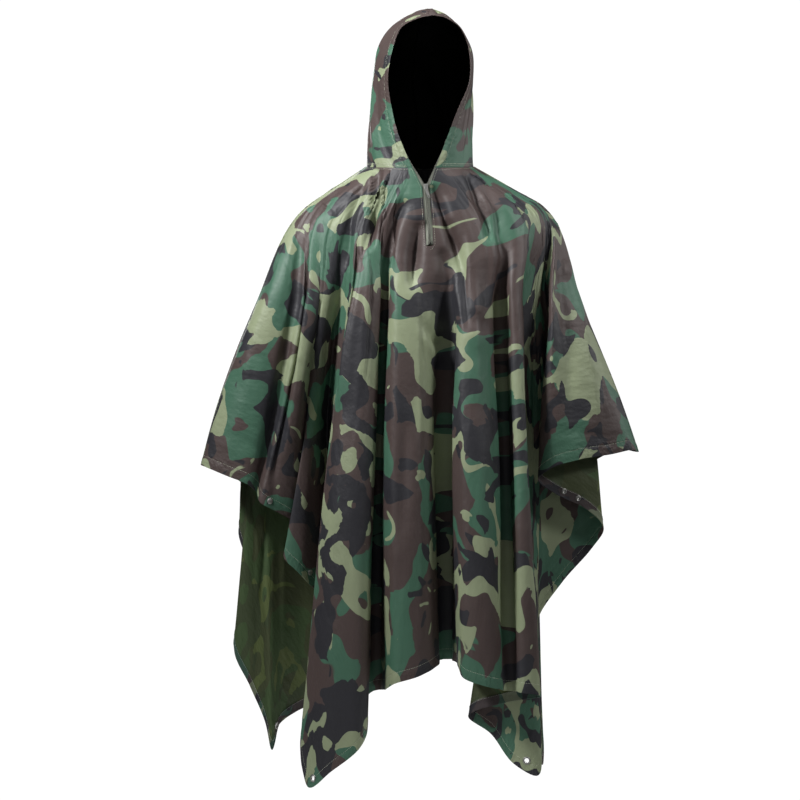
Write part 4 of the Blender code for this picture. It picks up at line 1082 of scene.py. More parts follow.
def woodland(paint, place):
    """The print: brown blots on green, khaki blots with black lobes beside them, loose black."""
    tint = colours()
    brown, khaki, beside, part, notch = [blots(paint, place, *blot) for blot in PRINT.values()]
    ink = paint.mix(brown, tuple(tint.green), tuple(tint.brown))
    ink = paint.mix(beside * part, ink, tuple(tint.black))
    ink = paint.mix(khaki, ink, tuple(tint.khaki))
    return paint.mix(notch, ink, tuple(tint.black))


def crumple_bump(paint, place):
    """Fine weave under soft crumples, as on coated cloth."""
    stretched = paint.moved(place, (1, 0.45, 1))
    crumple = paint.noise(stretched, 38.0, 2.5, 0.55)
    grain = paint.noise(place, 150.0, 2.0, 0.6)
    return paint.bump(crumple, 0.0022, under=paint.bump(grain, 0.0004))


def hem_puckers(paint, place, under):
    """Short puckers where the hem's stitches draw the cloth in."""
    hem = HEM_WIDTH * MM
    band = 1 - paint.step(paint.hem_distance(place), hem + 0.001, hem + 0.016)
    wave = paint.noise(place, 120.0, 1.0, 0.5)
    return paint.bump(wave * band, 0.0012, under=under)


def printed_cloth(name):
    """Outer side of the coated cloth, with the woodland print."""
    paint = Paint(name, {"Specular IOR Level": 0.42, "Coat Weight": 0.05, "Coat Roughness": 0.4})
    place = cloth_place(paint)
    ink = woodland(paint, place)
    mottle = paint.noise(place, 9.0, 3.0, 0.6)
    wear = paint.mix(mottle, (0.72, 0.72, 0.72, 1), (1.22, 1.2, 1.16, 1))
    paint.put("Base Color", paint.mix(0.35, ink, wear, "MULTIPLY"))
    paint.put("Roughness", 0.50 + 0.14 * paint.noise(place, 14.0, 3.0, 0.6))
    paint.put("Normal", hem_puckers(paint, place, crumple_bump(paint, place)))
    return paint.material


def coated_side(name, ground, show_print, gloss):
    """Paint, place, print and colour of an inner side, with the print faintly through it, tinted
    yellow-green as painted light shining through the cloth.
    """
    paint = Paint(name, {"Roughness": 0.6, "Specular IOR Level": gloss})
    place = cloth_place(paint)
    ink = woodland(paint, place)
    # Painted light: the print through the coating is tinted yellow-green, as if lit through the cloth
    # from behind
    print_as_backlit = paint.mix(1.0, ink, (1.0, 1.05, 0.45, 1), "MULTIPLY")
    return paint, place, ink, paint.mix(show_print, ground, print_as_backlit)


def panel_lining(name):
    """Inner side of the panels: coating, printed turned hems darkened as painted shade, and painted
    shade at the neck.
    """
    tint = colours()
    paint, place, ink, through = coated_side(name, tuple(tint.inside), 0.22, 0.4)
    hem = HEM_WIDTH * MM
    past_hem = paint.step(paint.hem_distance(place), hem, hem + 0.0008)
    # The turned hem band shows the print, darkened with black as painted shade
    through = paint.mix(past_hem, paint.mix(0.45, ink, tuple(tint.black)), through)
    # Painted shade at the neck: the inside turns near black towards the neck's centre
    far = paint.vectors("LENGTH", paint.moved(place, (1, 1, 0)), out="Value")
    facing = 1 - paint.step(far, *NECK_PAINTED_SHADE)
    paint.put("Base Color", paint.mix(facing, through, tuple(tint.hood_inside)))
    paint.put("Normal", crumple_bump(paint, place))
    return paint.material


def hood_lining(name):
    """Inner side of the hood: very dark and dull, as painted shade standing for the shade inside the
    hood.
    """
    paint, place, _, through = coated_side(name, tuple(colours().hood_inside), 0.01, 0.08)
    paint.put("Base Color", through)
    paint.put("Normal", crumple_bump(paint, place))
    return paint.material


def darker(tint, share):
    """The tint at a share of its brightness."""
    return tuple(share * c for c in tint[:3]) + (1,)


def speckled(name, tint, dark, scale, detail, constants):
    """A plain finish with faint seeded cloudiness between a darker tint and the tint."""
    paint = Paint(name, constants)
    shade = paint.noise(paint.object_place(), scale, detail, 0.5, flat=False)
    paint.put("Base Color", paint.mix(shade, darker(tint, dark), tuple(tint)))
    return paint.material


def sewing_thread(name):
    """Pale spun thread."""
    gloss = {"Roughness": 0.6, "Specular IOR Level": 0.3}
    return speckled(name, colours().thread, 0.72, 90.0, 2.0, gloss)


def tooth_resin(name):
    """Moulded resin of the zip's teeth."""
    gloss = {"Roughness": 0.42, "Specular IOR Level": 0.5}
    return speckled(name, colours().teeth, 0.7, 260.0, 2.0, gloss)


def pale_floor(name):
    """Studio floor with a little light of its own, so that it stays pale under the poncho."""
    gloss = {
        "Roughness": 0.9, "Specular IOR Level": 0.1,
        "Emission Color": (1, 1, 1, 1), "Emission Strength": 0.28,
    }
    return speckled(name, colours().floor, 0.97, 1.4, 3.0, gloss)


def tape_weave(name):
    """Woven tape with a fine ribbed weave along it."""
    paint = Paint(name, {"Roughness": 0.75, "Specular IOR Level": 0.25})
    weave = paint.node(
        "ShaderNodeTexWave", {"wave_type": "BANDS", "bands_direction": "Z"},
        {"Vector": paint.object_place(), "Scale": 230.0, "Distortion": 1.2, "Detail": 1.0}, "Fac",
    )
    tint = colours().tape
    paint.put("Base Color", paint.mix(weave, darker(tint, 0.6), tuple(tint)))
    paint.put("Normal", paint.bump(weave, 0.0003))
    return paint.material


def worn_metal(name, tint, roughness):
    """Metal with fine handling wear."""
    paint = Paint(name, {"Metallic": 1.0})
    spot = paint.object_place()
    wear = paint.noise(spot, METAL_WEAR, 4.0, 0.65, flat=False)
    paint.put("Base Color", paint.mix(wear, darker(tint, 0.62), tuple(tint)))
    paint.put("Roughness", roughness + 0.25 * wear)
    grain = paint.noise(spot, METAL_WEAR * 3, 2.0, 0.5, flat=False)
    paint.put("Normal", paint.bump(grain, 0.00005))
    return paint.material


def plated_metal(name):
    """Dull plating of the slider, the tab and the fittings."""
    return worn_metal(name, colours().metal, 0.34)


def blackened_metal(name):
    """Dark finish of the end stop."""
    return worn_metal(name, colours().stop, 0.35)


def made_of(maker):
    """The material that a maker function gives, made once and kept under the maker's name."""
    return bpy.data.materials.get(maker.__name__) or maker(maker.__name__)


# Mesh making

def metres(point):
    """A point in millimetres as a Vector in metres."""
    return Vector([float(c) * MM for c in point])


def new_object(name, bm, makers):
    """An object at the origin with the mesh, and with a material from each maker."""
    mesh = bpy.data.meshes.new(name)
    bm.to_mesh(mesh)
    bm.free()
    for maker in makers:
        mesh.materials.append(made_of(maker))
    obj = bpy.data.objects.new(name, mesh)
    bpy.context.scene.collection.objects.link(obj)
    return obj


def new_piece(name, bm, makers, node=None, body=BODY, smooth=True):
    """Finishes a piece: its materials, the body it rides on and the solid's node it replaces."""
    obj = new_object(name, bm, makers)
    obj.data.polygons.foreach_set("use_smooth", [smooth] * len(obj.data.polygons))
    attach(obj, body)
    if node:
        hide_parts(node)
    return obj


def grid_verts(bm, columns, rows):
    """Adds a flat grid, and gives each vertex with its column and row."""
    made = bmesh.ops.create_grid(bm, x_segments=columns - 1, y_segments=rows - 1, size=1.0)
    return [(vert, round((vert.co.x + 1) / 2 * (columns - 1)), round((vert.co.y + 1) / 2 * (rows - 1)))
            for vert in made["verts"]]


def oriented(first, second, third):
    """Matrix with the three unit vectors as its X, Y and Z axes."""
    return Matrix((Vector(first), Vector(second), Vector(third))).transposed().to_4x4()


def add_grid(bm, points, places):
    """Adds a grid of faces whose vertices stand at the given points, with their cloth places."""
    rows, columns = points.shape[:2]
    layer = bm.verts.layers.float_vector.get("cloth_place")
    layer = layer or bm.verts.layers.float_vector.new("cloth_place")
    for vert, i, j in grid_verts(bm, columns, rows):
        vert.co = points[j, i] * MM
        vert[layer] = places[j, i] * MM


def face_outwards(bm, toward):
    """Flips the sheet if most of it doesn't look along toward."""
    bm.normal_update()
    total = sum((face.normal * face.calc_area() for face in bm.faces), Vector())
    if total.dot(Vector(toward)) < 0:
        bmesh.ops.reverse_faces(bm, faces=bm.faces)
    bm.normal_update()


def cut_holes(bm, seats, radius):
    """Opens a round hole in the sheet at each seat."""
    for centre, normal in seats:
        middle, axis = metres(centre), Vector(normal)

        def reach(point):
            off = point - middle
            high = off.dot(axis)
            return (off - axis * high).length if abs(high) < 0.006 else 1.0

        around = [f for f in bm.faces if reach(f.calc_center_median()) < 3.2 * radius * MM]
        edges = list({edge for face in around for edge in face.edges})
        bmesh.ops.subdivide_edges(bm, edges=edges, cuts=2, use_grid_fill=True)
        inside = [f for f in bm.faces if reach(f.calc_center_median()) < radius * MM]
        rim = {v for f in inside for v in f.verts}
        bmesh.ops.delete(bm, geom=inside, context="FACES")
        for vert in (v for v in rim if v.is_valid):
            off = vert.co - middle
            flat = off - axis * off.dot(axis)
            if flat.length > 1e-6:
                vert.co = middle + flat.normalized() * (radius * MM)


def shell(bm, thickness, fold=0.0, fold_width=0.0):
    """Closes a sheet into a thin wall. Its inner side takes the second material.

    Within fold_width of the hem the inner side stands further in, by the turned cloth.
    """
    bm.normal_update()
    place = bm.verts.layers.float_vector["cloth_place"]
    rim = []
    for edge in bm.edges:
        if edge.is_boundary:
            loop = edge.link_loops[0]
            rim.append((loop.vert, loop.link_loop_next.vert))
    outer = bm.verts[:]
    normals = [vert.normal.copy() for vert in outer]
    copy = bmesh.ops.duplicate(bm, geom=bm.verts[:] + bm.edges[:] + bm.faces[:])
    inner_faces = [item for item in copy["geom"] if isinstance(item, bmesh.types.BMFace)]
    twin = copy["vert_map"]
    for vert, normal in zip(outer, normals):
        deep = fold * float(smooth_step((fold_width - vert[place].z) / 0.001 + 0.5))
        twin[vert].co = vert.co - normal * (thickness / 2 + deep)
        vert.co = vert.co + normal * (thickness / 2)
    bmesh.ops.reverse_faces(bm, faces=inner_faces)
    for face in inner_faces:
        face.material_index = 1
    for start, end in rim:
        side = bm.faces.new((end, start, twin[start], twin[end]))
        for edge in side.edges:
            if edge.verts[0] in (start, end) and edge.verts[1] in (start, end):
                edge.smooth = False
    bm.normal_update()


def stitches(lines, thread, pitch):
    """Short raised stitches along lines of (points, normals), in millimetres."""
    shape = Matrix.Diagonal((pitch * 0.40 * MM, thread * 0.55 * MM, thread * 0.5 * MM, 1))
    bm = bmesh.new()
    for points, normals in lines:
        run = run_along(points, 0)
        count = int(run[-1] / pitch)
        if count < 1:
            continue
        middle = (np.arange(count) + 0.5) * pitch
        spots = read_along(middle, run, points)
        out = unit(read_along(middle, run, normals))
        along = unit(read_along(middle + 0.4, run, points) - spots)
        side = unit(np.cross(out, along))
        out = np.cross(along, side)
        for spot, a, s, o in zip(spots, along, side, out):
            matrix = Matrix.Translation(metres(spot)) @ oriented(a, s, o) @ shape
            bmesh.ops.create_icosphere(bm, subdivisions=1, radius=1.0, matrix=matrix)
    return bm


def hem_line(cloth, down, lift):
    """Points and normals along a panel at one distance from the hem, lifted off the cloth."""
    rows = np.abs(cloth.place[..., 2] - down).argmin(axis=0)
    columns = np.arange(cloth.points.shape[1])
    normals = cloth.normals[rows, columns]
    return cloth.points[rows, columns] + normals * lift, normals * np.sign(lift)


def row_line(cloth, down, lift, first=0, last=None):
    """Points and normals along a panel at one distance below its upper edge."""
    rows = np.abs(run_along(cloth.points, 0) - down).argmin(axis=0)[first:last]
    columns = np.arange(cloth.points.shape[1])[first:last]
    normals = cloth.normals[rows, columns]
    return cloth.points[rows, columns] + normals * lift, normals


def side_line(cloth, inward, lift, end, first=0, last=None):
    """Points and normals down a grid at one distance from its first or last column."""
    points = cloth.points if end == 0 else cloth.points[:, ::-1]
    normals = cloth.normals if end == 0 else cloth.normals[:, ::-1]
    run = run_along(points, 1)
    found, facing = [], []
    for j in range(len(points))[first:last]:
        spot = [np.interp(inward, run[j], points[j, :, k]) for k in range(3)]
        out = unit(np.array([np.interp(inward, run[j], normals[j, :, k]) for k in range(3)]))
        found.append(np.array(spot) + out * lift)
        facing.append(out)
    return np.array(found), np.array(facing)


def block(bm, centre, size, bevel=0.0, taper=1.0):
    """Adds a box with rounded edges, in millimetres. taper narrows its lower end."""
    made = bmesh.ops.create_cube(bm, size=1.0)["verts"]
    for vert in made:
        vert.co.x *= taper if vert.co.z < 0 else 1.0
    bmesh.ops.scale(bm, vec=metres(size), verts=made)
    bmesh.ops.translate(bm, vec=metres(centre), verts=made)
    if bevel:
        edges = list({edge for vert in made for edge in vert.link_edges})
        bmesh.ops.bevel(
            bm, geom=edges, offset=bevel * MM, segments=3, profile=0.5, affect="EDGES", material=-1,
        )


def turned(profile, seat):
    """A turned piece on a seat, from a closed profile of (radius, height), in millimetres."""
    bm = bmesh.new()
    verts = [bm.verts.new((r * MM, 0, z * MM)) for r, z in profile]
    edges = [bm.edges.new(pair) for pair in zip(verts, verts[1:] + verts[:1])]
    bmesh.ops.spin(
        bm, geom=verts + edges, cent=(0, 0, 0), axis=(0, 0, 1), angle=2 * math.pi,
        steps=TURN_STEPS, use_merge=True, use_duplicate=False,
    )
    bmesh.ops.remove_doubles(bm, verts=bm.verts, dist=0.002 * MM)
    bmesh.ops.recalc_face_normals(bm, faces=bm.faces)
    bmesh.ops.transform(bm, matrix=seat_matrix(seat), verts=bm.verts)
    return bm


def seat_matrix(seat):
    """Matrix at a seat: Z along the cloth's outward normal."""
    centre, normal = seat
    side = unit(np.cross([0.0, 0.0, 1.0], normal))
    return Matrix.Translation(metres(centre)) @ oriented(side, np.cross(normal, side), normal)


# Finished surfaces, made once and shared by the pieces on them

def front_cloths():
    """The front panel's two halves beside the zip, as finished surfaces."""
    half = sizes().columns // 2
    end_rows = ZIP_BOTTOM_V + (ZIP_CLOSED_V - ZIP_BOTTOM_V) * np.array([0.35, 0.65, 0.86, 1.0])
    upper = np.concatenate([
        NECK_ROWS, np.linspace(NECK_ROWS[-1], ZIP_SLIDER_V, 7)[1:],
        np.linspace(ZIP_SLIDER_V, ZIP_BOTTOM_V, 17)[1:], end_rows,
        ZIP_CLOSED_V + np.array([0.006, 0.013]),
    ])
    rows = FRONT_PANEL.rows(upper, sizes().row_pitch / MM)
    cloths = []
    for side, low, high in ((-1, 0, ZIP_U), (1, ZIP_U, FRONT_PANEL.knots[-1])):
        even = np.linspace(low, high, half + 1)
        us = np.array([pushed_aside(even, float(v[0]), side) if k < len(upper) else even
                       for k, v in enumerate(rows)])
        toward = np.array([0, -1, 0])
        cloths.append(panel_cloth(FRONT_PANEL, us, rows, FRONT_CREASES, toward, FRONT_SEED))
    left, right = cloths
    closed = len(upper) - 3
    middle = (left.points[closed:, -1] + right.points[closed:, 0]) / 2
    left.points[closed:, -1] = middle
    right.points[closed:, 0] = middle
    return left, right, closed


def back_cloth():
    """The back panel as a finished surface."""
    upper = np.concatenate([NECK_ROWS, np.linspace(NECK_ROWS[-1], 0.13, 13)[1:]])
    rows = BACK_PANEL.rows(upper, sizes().row_pitch / MM)
    even = np.linspace(0, BACK_PANEL.knots[-1], sizes().columns + 1)
    us = np.tile(even, (len(rows), 1))
    return panel_cloth(BACK_PANEL, us, rows, BACK_CREASES, np.array([0, 1, 0]), BACK_SEED)


CLOTH = {}


def surfaces():
    """All finished surfaces by name, with the seats of the fittings on them."""
    if not CLOTH:
        left, right, closed = front_cloths()
        back = back_cloth()
        seats = {}
        for options, names in (((left, right), FITTINGS["front"]), ((back,), FITTINGS["back"])):
            for name in names:
                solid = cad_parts[name].data
                middle = np.mean([vert.co for vert in solid.vertices], axis=0) / MM
                found = [seat_of(middle, cloth) for cloth in options]
                seats[name] = min(found, key=lambda seat: np.linalg.norm(seat[0] - middle))
        front_seats, back_seats = ([seats[name] for name in names] for names in FITTINGS.values())
        CLOTH.update(
            left=flattened(left, front_seats), right=flattened(right, front_seats),
            back=flattened(back, back_seats), closed=closed, seats=seats,
            hood_left=hood_cloth(-1), hood_right=hood_cloth(1),
        )
    return CLOTH


def zip_edge(side):
    """The zip's cloth edge on one side, bottom to top: edge points, into the cloth, outward."""
    made = surfaces()
    cloth = made["left" if side < 0 else "right"]
    hood = made["hood_left" if side < 0 else "hood_right"]
    column, inner = (-1, -6) if side < 0 else (0, 5)
    last = int(np.searchsorted(cloth.vs[:, column], ZIP_BOTTOM_V + 1e-6))
    edge = cloth.points[1:last, column][::-1]
    into = unit(cloth.points[1:last, inner][::-1] - edge)
    rows = [j for j in range(1, len(hood.points)) if hood.vs[j, 0] <= ZIP_HOOD_SHARE + 1e-6]
    edge = np.concatenate([edge, hood.points[rows, 0]])
    into = np.concatenate([into, unit(hood.points[rows, 5] - hood.points[rows, 0])])
    along = np.gradient(edge, axis=0)
    out = unit(np.cross(along, into)) * -side
    return edge, unit(np.cross(out, along)) * -side, out


def zip_matrix(v):
    """Matrix on the closed chain: X to the right, Y outward, Z up along the zip, in metres."""
    left = FRONT_PANEL.points([slit_u(v, -1)], v)[0]
    right = FRONT_PANEL.points([slit_u(v, 1)], v)[0]
    across = unit(right - left)
    up = FRONT_PANEL.points([ZIP_U], v - 0.01)[0] - FRONT_PANEL.points([ZIP_U], v + 0.01)[0]
    out = unit(np.cross(across, up))
    up = np.cross(out, across)
    middle = (left + right) / 2 - out * ZIP_DEPTH
    return Matrix.Translation(metres(middle)) @ oriented(across, out, up)


# Operators

class PONCHO_OT_front(bpy.types.Operator):
    """Sew up the front panel with its folds, slit, hem and fitting holes"""

    bl_idname = "poncho.front_panel"
    bl_label = "Front Panel"

    def execute(self, context):
        sew_panel("front", ("left", "right"), (0, -1, 0))
        return {"FINISHED"}


class PONCHO_OT_back(bpy.types.Operator):
    """Sew up the back panel with its folds, hem and fitting holes"""

    bl_idname = "poncho.back_panel"
    bl_label = "Back Panel"

    def execute(self, context):
        sew_panel("back", ("back",), (0, 1, 0))
        return {"FINISHED"}


def sew_panel(word, parts, toward):
    """One panel as a thin wall, joined from its surfaces, with open eyelet holes."""
    made = surfaces()
    bm = bmesh.new()
    for part in parts:
        add_grid(bm, made[part].points, made[part].place)
    if len(parts) > 1:
        bmesh.ops.remove_doubles(bm, verts=bm.verts, dist=0.01 * MM)
    face_outwards(bm, toward)
    eyelets = [made["seats"][name] for name in FITTINGS[word] if name.startswith("eyelet")]
    cut_holes(bm, eyelets, CLOTH_HOLE)
    shell(bm, sizes().cloth, sizes().hem_fold, HEM_WIDTH * MM)
    makers = [printed_cloth, panel_lining]
    obj = new_piece(f"{word}_cloth", bm, makers, f"{word}_panel")


class PONCHO_OT_hood(bpy.types.Operator):
    """Sew up the two hood halves with the turned edge of the face opening"""

    bl_idname = "poncho.hood"
    bl_label = "Hood"

    def execute(self, context):
        for side, word in ((-1, "hood_left"), (1, "hood_right")):
            cloth = surfaces()[word]
            bm = bmesh.new()
            add_grid(bm, cloth.points, cloth.place)
            face_outwards(bm, (side, 0, 0))
            shell(bm, sizes().cloth)
            makers = [printed_cloth, hood_lining]
            obj = new_piece(f"{word}_cloth", bm, makers, word)
        return {"FINISHED"}


class PONCHO_OT_seams(bpy.types.Operator):
    """Lay the felled seams over the hood's middle and along the arms"""

    bl_idname = "poncho.seams"
    bl_label = "Felled Seams"

    def execute(self, context):
        made = surfaces()
        lift = sizes().cloth / MM / 2 + SEAM_LIFT
        for name, first, second, end, half, toward, lining in (
            ("hood_seam", "hood_left", "hood_right", 1, HOOD_SEAM_HALF, (0, 1, 0.3), hood_lining),
            ("arm_seam_left", "left", "back", 0, ARM_SEAM_HALF, (-1, 0, 0.4), panel_lining),
            ("arm_seam_right", "right", "back", 1, ARM_SEAM_HALF, (1, 0, 0.4), panel_lining),
        ):
            over_top = name == "hood_seam"
            reaches = [half, half * 0.55, 0.6]
            strips = [seam_path(made[first], reach, lift, end, over_top) for reach in reaches]
            strips += [seam_path(made[second], reach, lift, end, over_top) for reach in reaches[::-1]]
            points = np.stack([resampled(strip, SEAM_POINTS) for strip in strips], axis=1)
            printed = resampled(made[first].place[:, -end], SEAM_POINTS)
            place = np.repeat(printed[:, None], len(strips), axis=1)
            place[..., 2] = NO_HEM
            bm = bmesh.new()
            add_grid(bm, points, place)
            face_outwards(bm, toward)
            shell(bm, SEAM_WALL * MM)
            new_piece(name, bm, [printed_cloth, lining])
        return {"FINISHED"}


def seam_path(cloth, inward, lift, end, over_top):
    """Line beside a seam. Over the top it goes on along the last row, to the face opening."""
    line, _ = side_line(cloth, inward, lift, end, 0 if over_top else 1)
    if not over_top:
        return line
    flipped = cloth._replace(points=cloth.points[::-1], normals=cloth.normals[::-1])
    top, _ = row_line(flipped, inward, lift)
    far = np.linalg.norm(line - line[-1], axis=1) >= inward
    across = np.linalg.norm(top - top[-1], axis=1) >= inward
    return np.concatenate([line[far], top[across][::-1]])


class PONCHO_OT_zip(bpy.types.Operator):
    """Set in the zip: two woven tapes, their teeth and the end stop"""

    bl_idname = "poncho.zip"
    bl_label = "Zip"

    def execute(self, context):
        for side, word in ((-1, "left"), (1, "right")):
            edge, into, out = zip_edge(side)
            run = run_along(edge, 0)
            share = run / run[-1]
            tucked = smooth_step((share - 0.40) / 0.55)
            near = -(ZIP_HALF_SLIT - 2.2) * (1 - 0.25 * smooth_step((share - 0.62) / 0.1))
            near = near * (1 - tucked) + 1.6 * tucked
            self.sew_tape(word, edge, into, out, near)
            near_rail = (ZIP_HALF_SLIT - 1.0) * (1 - tucked) - 2.4 * tucked
            self.set_teeth(word, edge - into * near_rail[:, None] - out * ZIP_DEPTH, into, out)
        self.clamp_stop()
        return {"FINISHED"}

    @staticmethod
    def sew_tape(word, edge, into, out, near):
        """One tape, from beside the chain to under the cloth."""
        spread = [near + (TAPE_UNDER - near) * k / 5 for k in range(6)]
        points = np.stack([edge + into * far[:, None] - out * ZIP_DEPTH for far in spread], axis=1)
        bm = bmesh.new()
        add_grid(bm, points, np.zeros_like(points))
        face_outwards(bm, (0, -1, 0))
        shell(bm, TAPE_THICK * MM)
        new_piece(f"zip_tape_{word}_weave", bm, [tape_weave], f"zip_tape_{word}")

    @staticmethod
    def set_teeth(word, rail, into, out):
        """Moulded teeth along one tape. The right row starts half a pitch further up."""
        run = run_along(rail, 0)
        count = int((run[-1] - 2) / TOOTH_PITCH)
        middle = 1.2 + (np.arange(count) + (0.5 if word == "right" else 0.0)) * TOOTH_PITCH
        spots = read_along(middle, run, rail)
        inner, outer = (unit(read_along(middle, run, values)) for values in (into, out))
        bm = bmesh.new()
        for spot, i, o in zip(spots, inner, outer):
            matrix = Matrix.Translation(metres(spot)) @ oriented(i, np.cross(i, o), o)
            cube = bmesh.ops.create_cube(bm, size=1.0)["verts"]
            bmesh.ops.scale(bm, vec=metres(TOOTH_SIZE), verts=cube)
            bmesh.ops.transform(bm, matrix=matrix, verts=cube)
        bmesh.ops.bevel(
            bm, geom=bm.edges[:], offset=TOOTH_BEVEL * MM, segments=1, profile=0.5,
            affect="EDGES", material=-1,
        )
        name, node = f"zip_teeth_{word}_row", f"zip_teeth_{word}"
        new_piece(name, bm, [tooth_resin], node, smooth=False)

    @staticmethod
    def clamp_stop():
        """The stop at the lower end, with two raised ribs."""
        bm = bmesh.new()
        height = (2.0 + STOP_SIZE[1]) / 2 + 0.35
        middle = 1.0 + STOP_SIZE[2] / 2
        block(bm, (0, height, middle), STOP_SIZE, 0.35)
        for x in (-1.6, 1.6):
            block(bm, (x, height + 0.35, middle), (1.1, 0.9, STOP_SIZE[2] * 0.9), 0.25)
        bmesh.ops.transform(bm, matrix=zip_matrix(ZIP_BOTTOM_V), verts=bm.verts)
        makers = [blackened_metal]
        new_piece("zip_stop_clip", bm, makers, "zip_bottom_stop", smooth=False)


class PONCHO_OT_slider(bpy.types.Operator):
    """Put the slider on the zip, with its pull tab on the bridge"""

    bl_idname = "poncho.slider"
    bl_label = "Slider and Pull"

    def execute(self, context):
        place = zip_matrix(ZIP_SLIDER_V)
        self.close_slider(place)
        hinge_y = SLIDER_CHANNEL / 2 + SLIDER_PLATE + BRIDGE_CLEAR / 2
        self.hang_tab(place @ Matrix.Translation(metres((0, hinge_y, 0))))
        return {"FINISHED"}

    @staticmethod
    def close_slider(place):
        """Two plates with a wedge and side rails between them, and the bridge on top."""
        bm = bmesh.new()
        plate_y = (SLIDER_CHANNEL + SLIDER_PLATE) / 2
        top = SLIDER_CHANNEL / 2 + SLIDER_PLATE
        for way in (1, -1):
            plate = (SLIDER_WIDTH, SLIDER_PLATE, SLIDER_LENGTH)
            block(bm, (0, way * plate_y, 0), plate, 0.45, 0.78)
        block(bm, (0, 0, SLIDER_LENGTH / 2 - 1.2), (2.0, SLIDER_CHANNEL + 0.6, 2.4), 0.3)
        rail = (0.7, 1.2, SLIDER_LENGTH * 0.8)
        rail_x, rail_y = SLIDER_WIDTH / 2 - 0.75, SLIDER_CHANNEL / 2 - 0.2
        for way in (1, -1):
            for depth in (1, -1):
                block(bm, (way * rail_x, depth * rail_y, -0.6), rail, 0.2)
        leg_height = BRIDGE_CLEAR + BRIDGE_BAR + 0.2
        leg = (BRIDGE_WIDTH, leg_height, BRIDGE_LEG)
        for way in (1, -1):
            leg_z = way * (BRIDGE_SPAN + BRIDGE_LEG) / 2
            block(bm, (0, top - 0.2 + leg_height / 2, leg_z), leg, 0.25)
        bar = (BRIDGE_WIDTH, BRIDGE_BAR, BRIDGE_SPAN + 2 * BRIDGE_LEG)
        block(bm, (0, top + BRIDGE_CLEAR + BRIDGE_BAR / 2, 0), bar, 0.35)
        bmesh.ops.transform(bm, matrix=place, verts=bm.verts)
        new_piece("zip_slider_body", bm, [plated_metal], "zip_slider", smooth=False)

    @staticmethod
    def hang_tab(place):
        """The tab: a plate with an eye for the bridge and a slot at its lower end."""
        bm = bmesh.new()
        eye_low = -BRIDGE_SPAN / 2 - BRIDGE_LEG - 1.6
        half = PULL_WIDTH / 2
        slot_top, slot_low = -PULL_LENGTH + 5.0, -PULL_LENGTH + 2.2
        xs = (-half, -half + PULL_RAIL, half - PULL_RAIL, half)
        zs = (PULL_THICK / 2, -PULL_THICK / 2, eye_low, slot_top, slot_low, -PULL_LENGTH)
        for vert, i, j in grid_verts(bm, 4, 6):
            lean = math.tan(math.radians(PULL_TILT)) * max(0.0, eye_low - zs[j])
            narrow = 0.86 if j == 5 else 1.0
            vert.co = metres((xs[i] * narrow + lean, 0, zs[j]))
        openings = []
        for face in bm.faces:
            across = [vert.co.x / MM for vert in face.verts]
            z = face.calc_center_median().z / MM
            inside = eye_low < z < -PULL_THICK / 2 or slot_low < z < slot_top
            if inside and max(across) - min(across) > 2.4:
                openings.append(face)
        bmesh.ops.delete(bm, geom=openings, context="FACES")
        face_outwards(bm, (0, 1, 0))
        bmesh.ops.solidify(bm, geom=bm.faces[:], thickness=PULL_THICK * MM)
        depths = [vert.co.y for vert in bm.verts]
        bmesh.ops.translate(bm, vec=(0, -(max(depths) + min(depths)) / 2, 0), verts=bm.verts)
        bmesh.ops.recalc_face_normals(bm, faces=bm.faces)
        sharp = [e for e in bm.edges if len(e.link_faces) == 2 and e.calc_face_angle(0) > 0.8]
        bmesh.ops.bevel(
            bm, geom=sharp, offset=0.25 * MM, segments=2, profile=0.5, affect="EDGES", material=-1,
        )
        bmesh.ops.transform(bm, matrix=place, verts=bm.verts)
        makers = [plated_metal]
        new_piece("pull_tab_plate", bm, makers, "zip_pull_tab", "zip_pull", smooth=False)


def eyelet_profile(half):
    """Rolled flange on each face of the cloth, and the barrel between them."""
    face = half + 0.15
    outer = [(EYELET_HOLE, 0.0), (EYELET_HOLE, face + 0.35), (EYELET_HOLE + 0.35, face + 0.75),
             (EYELET_HOLE + 1.2, face + 0.95), (EYELET_FLANGE - 0.9, face + 0.75),
             (EYELET_FLANGE - 0.2, face + 0.4), (EYELET_FLANGE, face), (EYELET_HOLE + 0.8, face),
             (EYELET_HOLE + 0.8, 0.0)]
    lower = [(r, -z) for r, z in outer[::-1]]
    return outer[:-1] + lower[1:-1]


def stud_profile(half):
    """Domed cap outside with a rolled rim, post, and ring-shaped socket inside."""
    base = half + 0.12
    cap = [(0.0, base + 1.7), (1.8, base + 1.62), (3.4, base + 1.38), (4.7, base + 0.98),
           (5.4, base + 0.62), (STUD_RADIUS, base + 0.35), (STUD_RADIUS - 0.15, base)]
    post = [(1.6, base), (1.6, -base)]
    socket = [(STUD_RADIUS - 0.2, -base), (STUD_RADIUS, -base - 0.35), (5.2, -base - 0.9),
              (4.4, -base - 1.5), (3.4, -base - 1.6), (2.5, -base - 1.3), (2.4, -base - 0.5),
              (0.0, -base - 0.45)]
    return cap + post + socket


def set_fittings(kind, profile, ending):
    """Turns a fitting for each seat of a kind, and sets it in the doubled cloth."""
    half = (sizes().cloth + sizes().hem_fold) / MM / 2
    for name in FITTINGS["front"] + FITTINGS["back"]:
        if name.startswith(kind):
            bm = turned(profile(half), surfaces()["seats"][name])
            new_piece(f"{name}_{ending}", bm, [plated_metal], name)


class PONCHO_OT_eyelets(bpy.types.Operator):
    """Set the corner eyelets"""

    bl_idname = "poncho.eyelets"
    bl_label = "Eyelets"

    def execute(self, context):
        set_fittings("eyelet", eyelet_profile, "ring")
        return {"FINISHED"}


class PONCHO_OT_studs(bpy.types.Operator):
    """Set the press studs along the side hems"""

    bl_idname = "poncho.studs"
    bl_label = "Press Studs"

    def execute(self, context):
        set_fittings("press_stud", stud_profile, "cap")
        return {"FINISHED"}


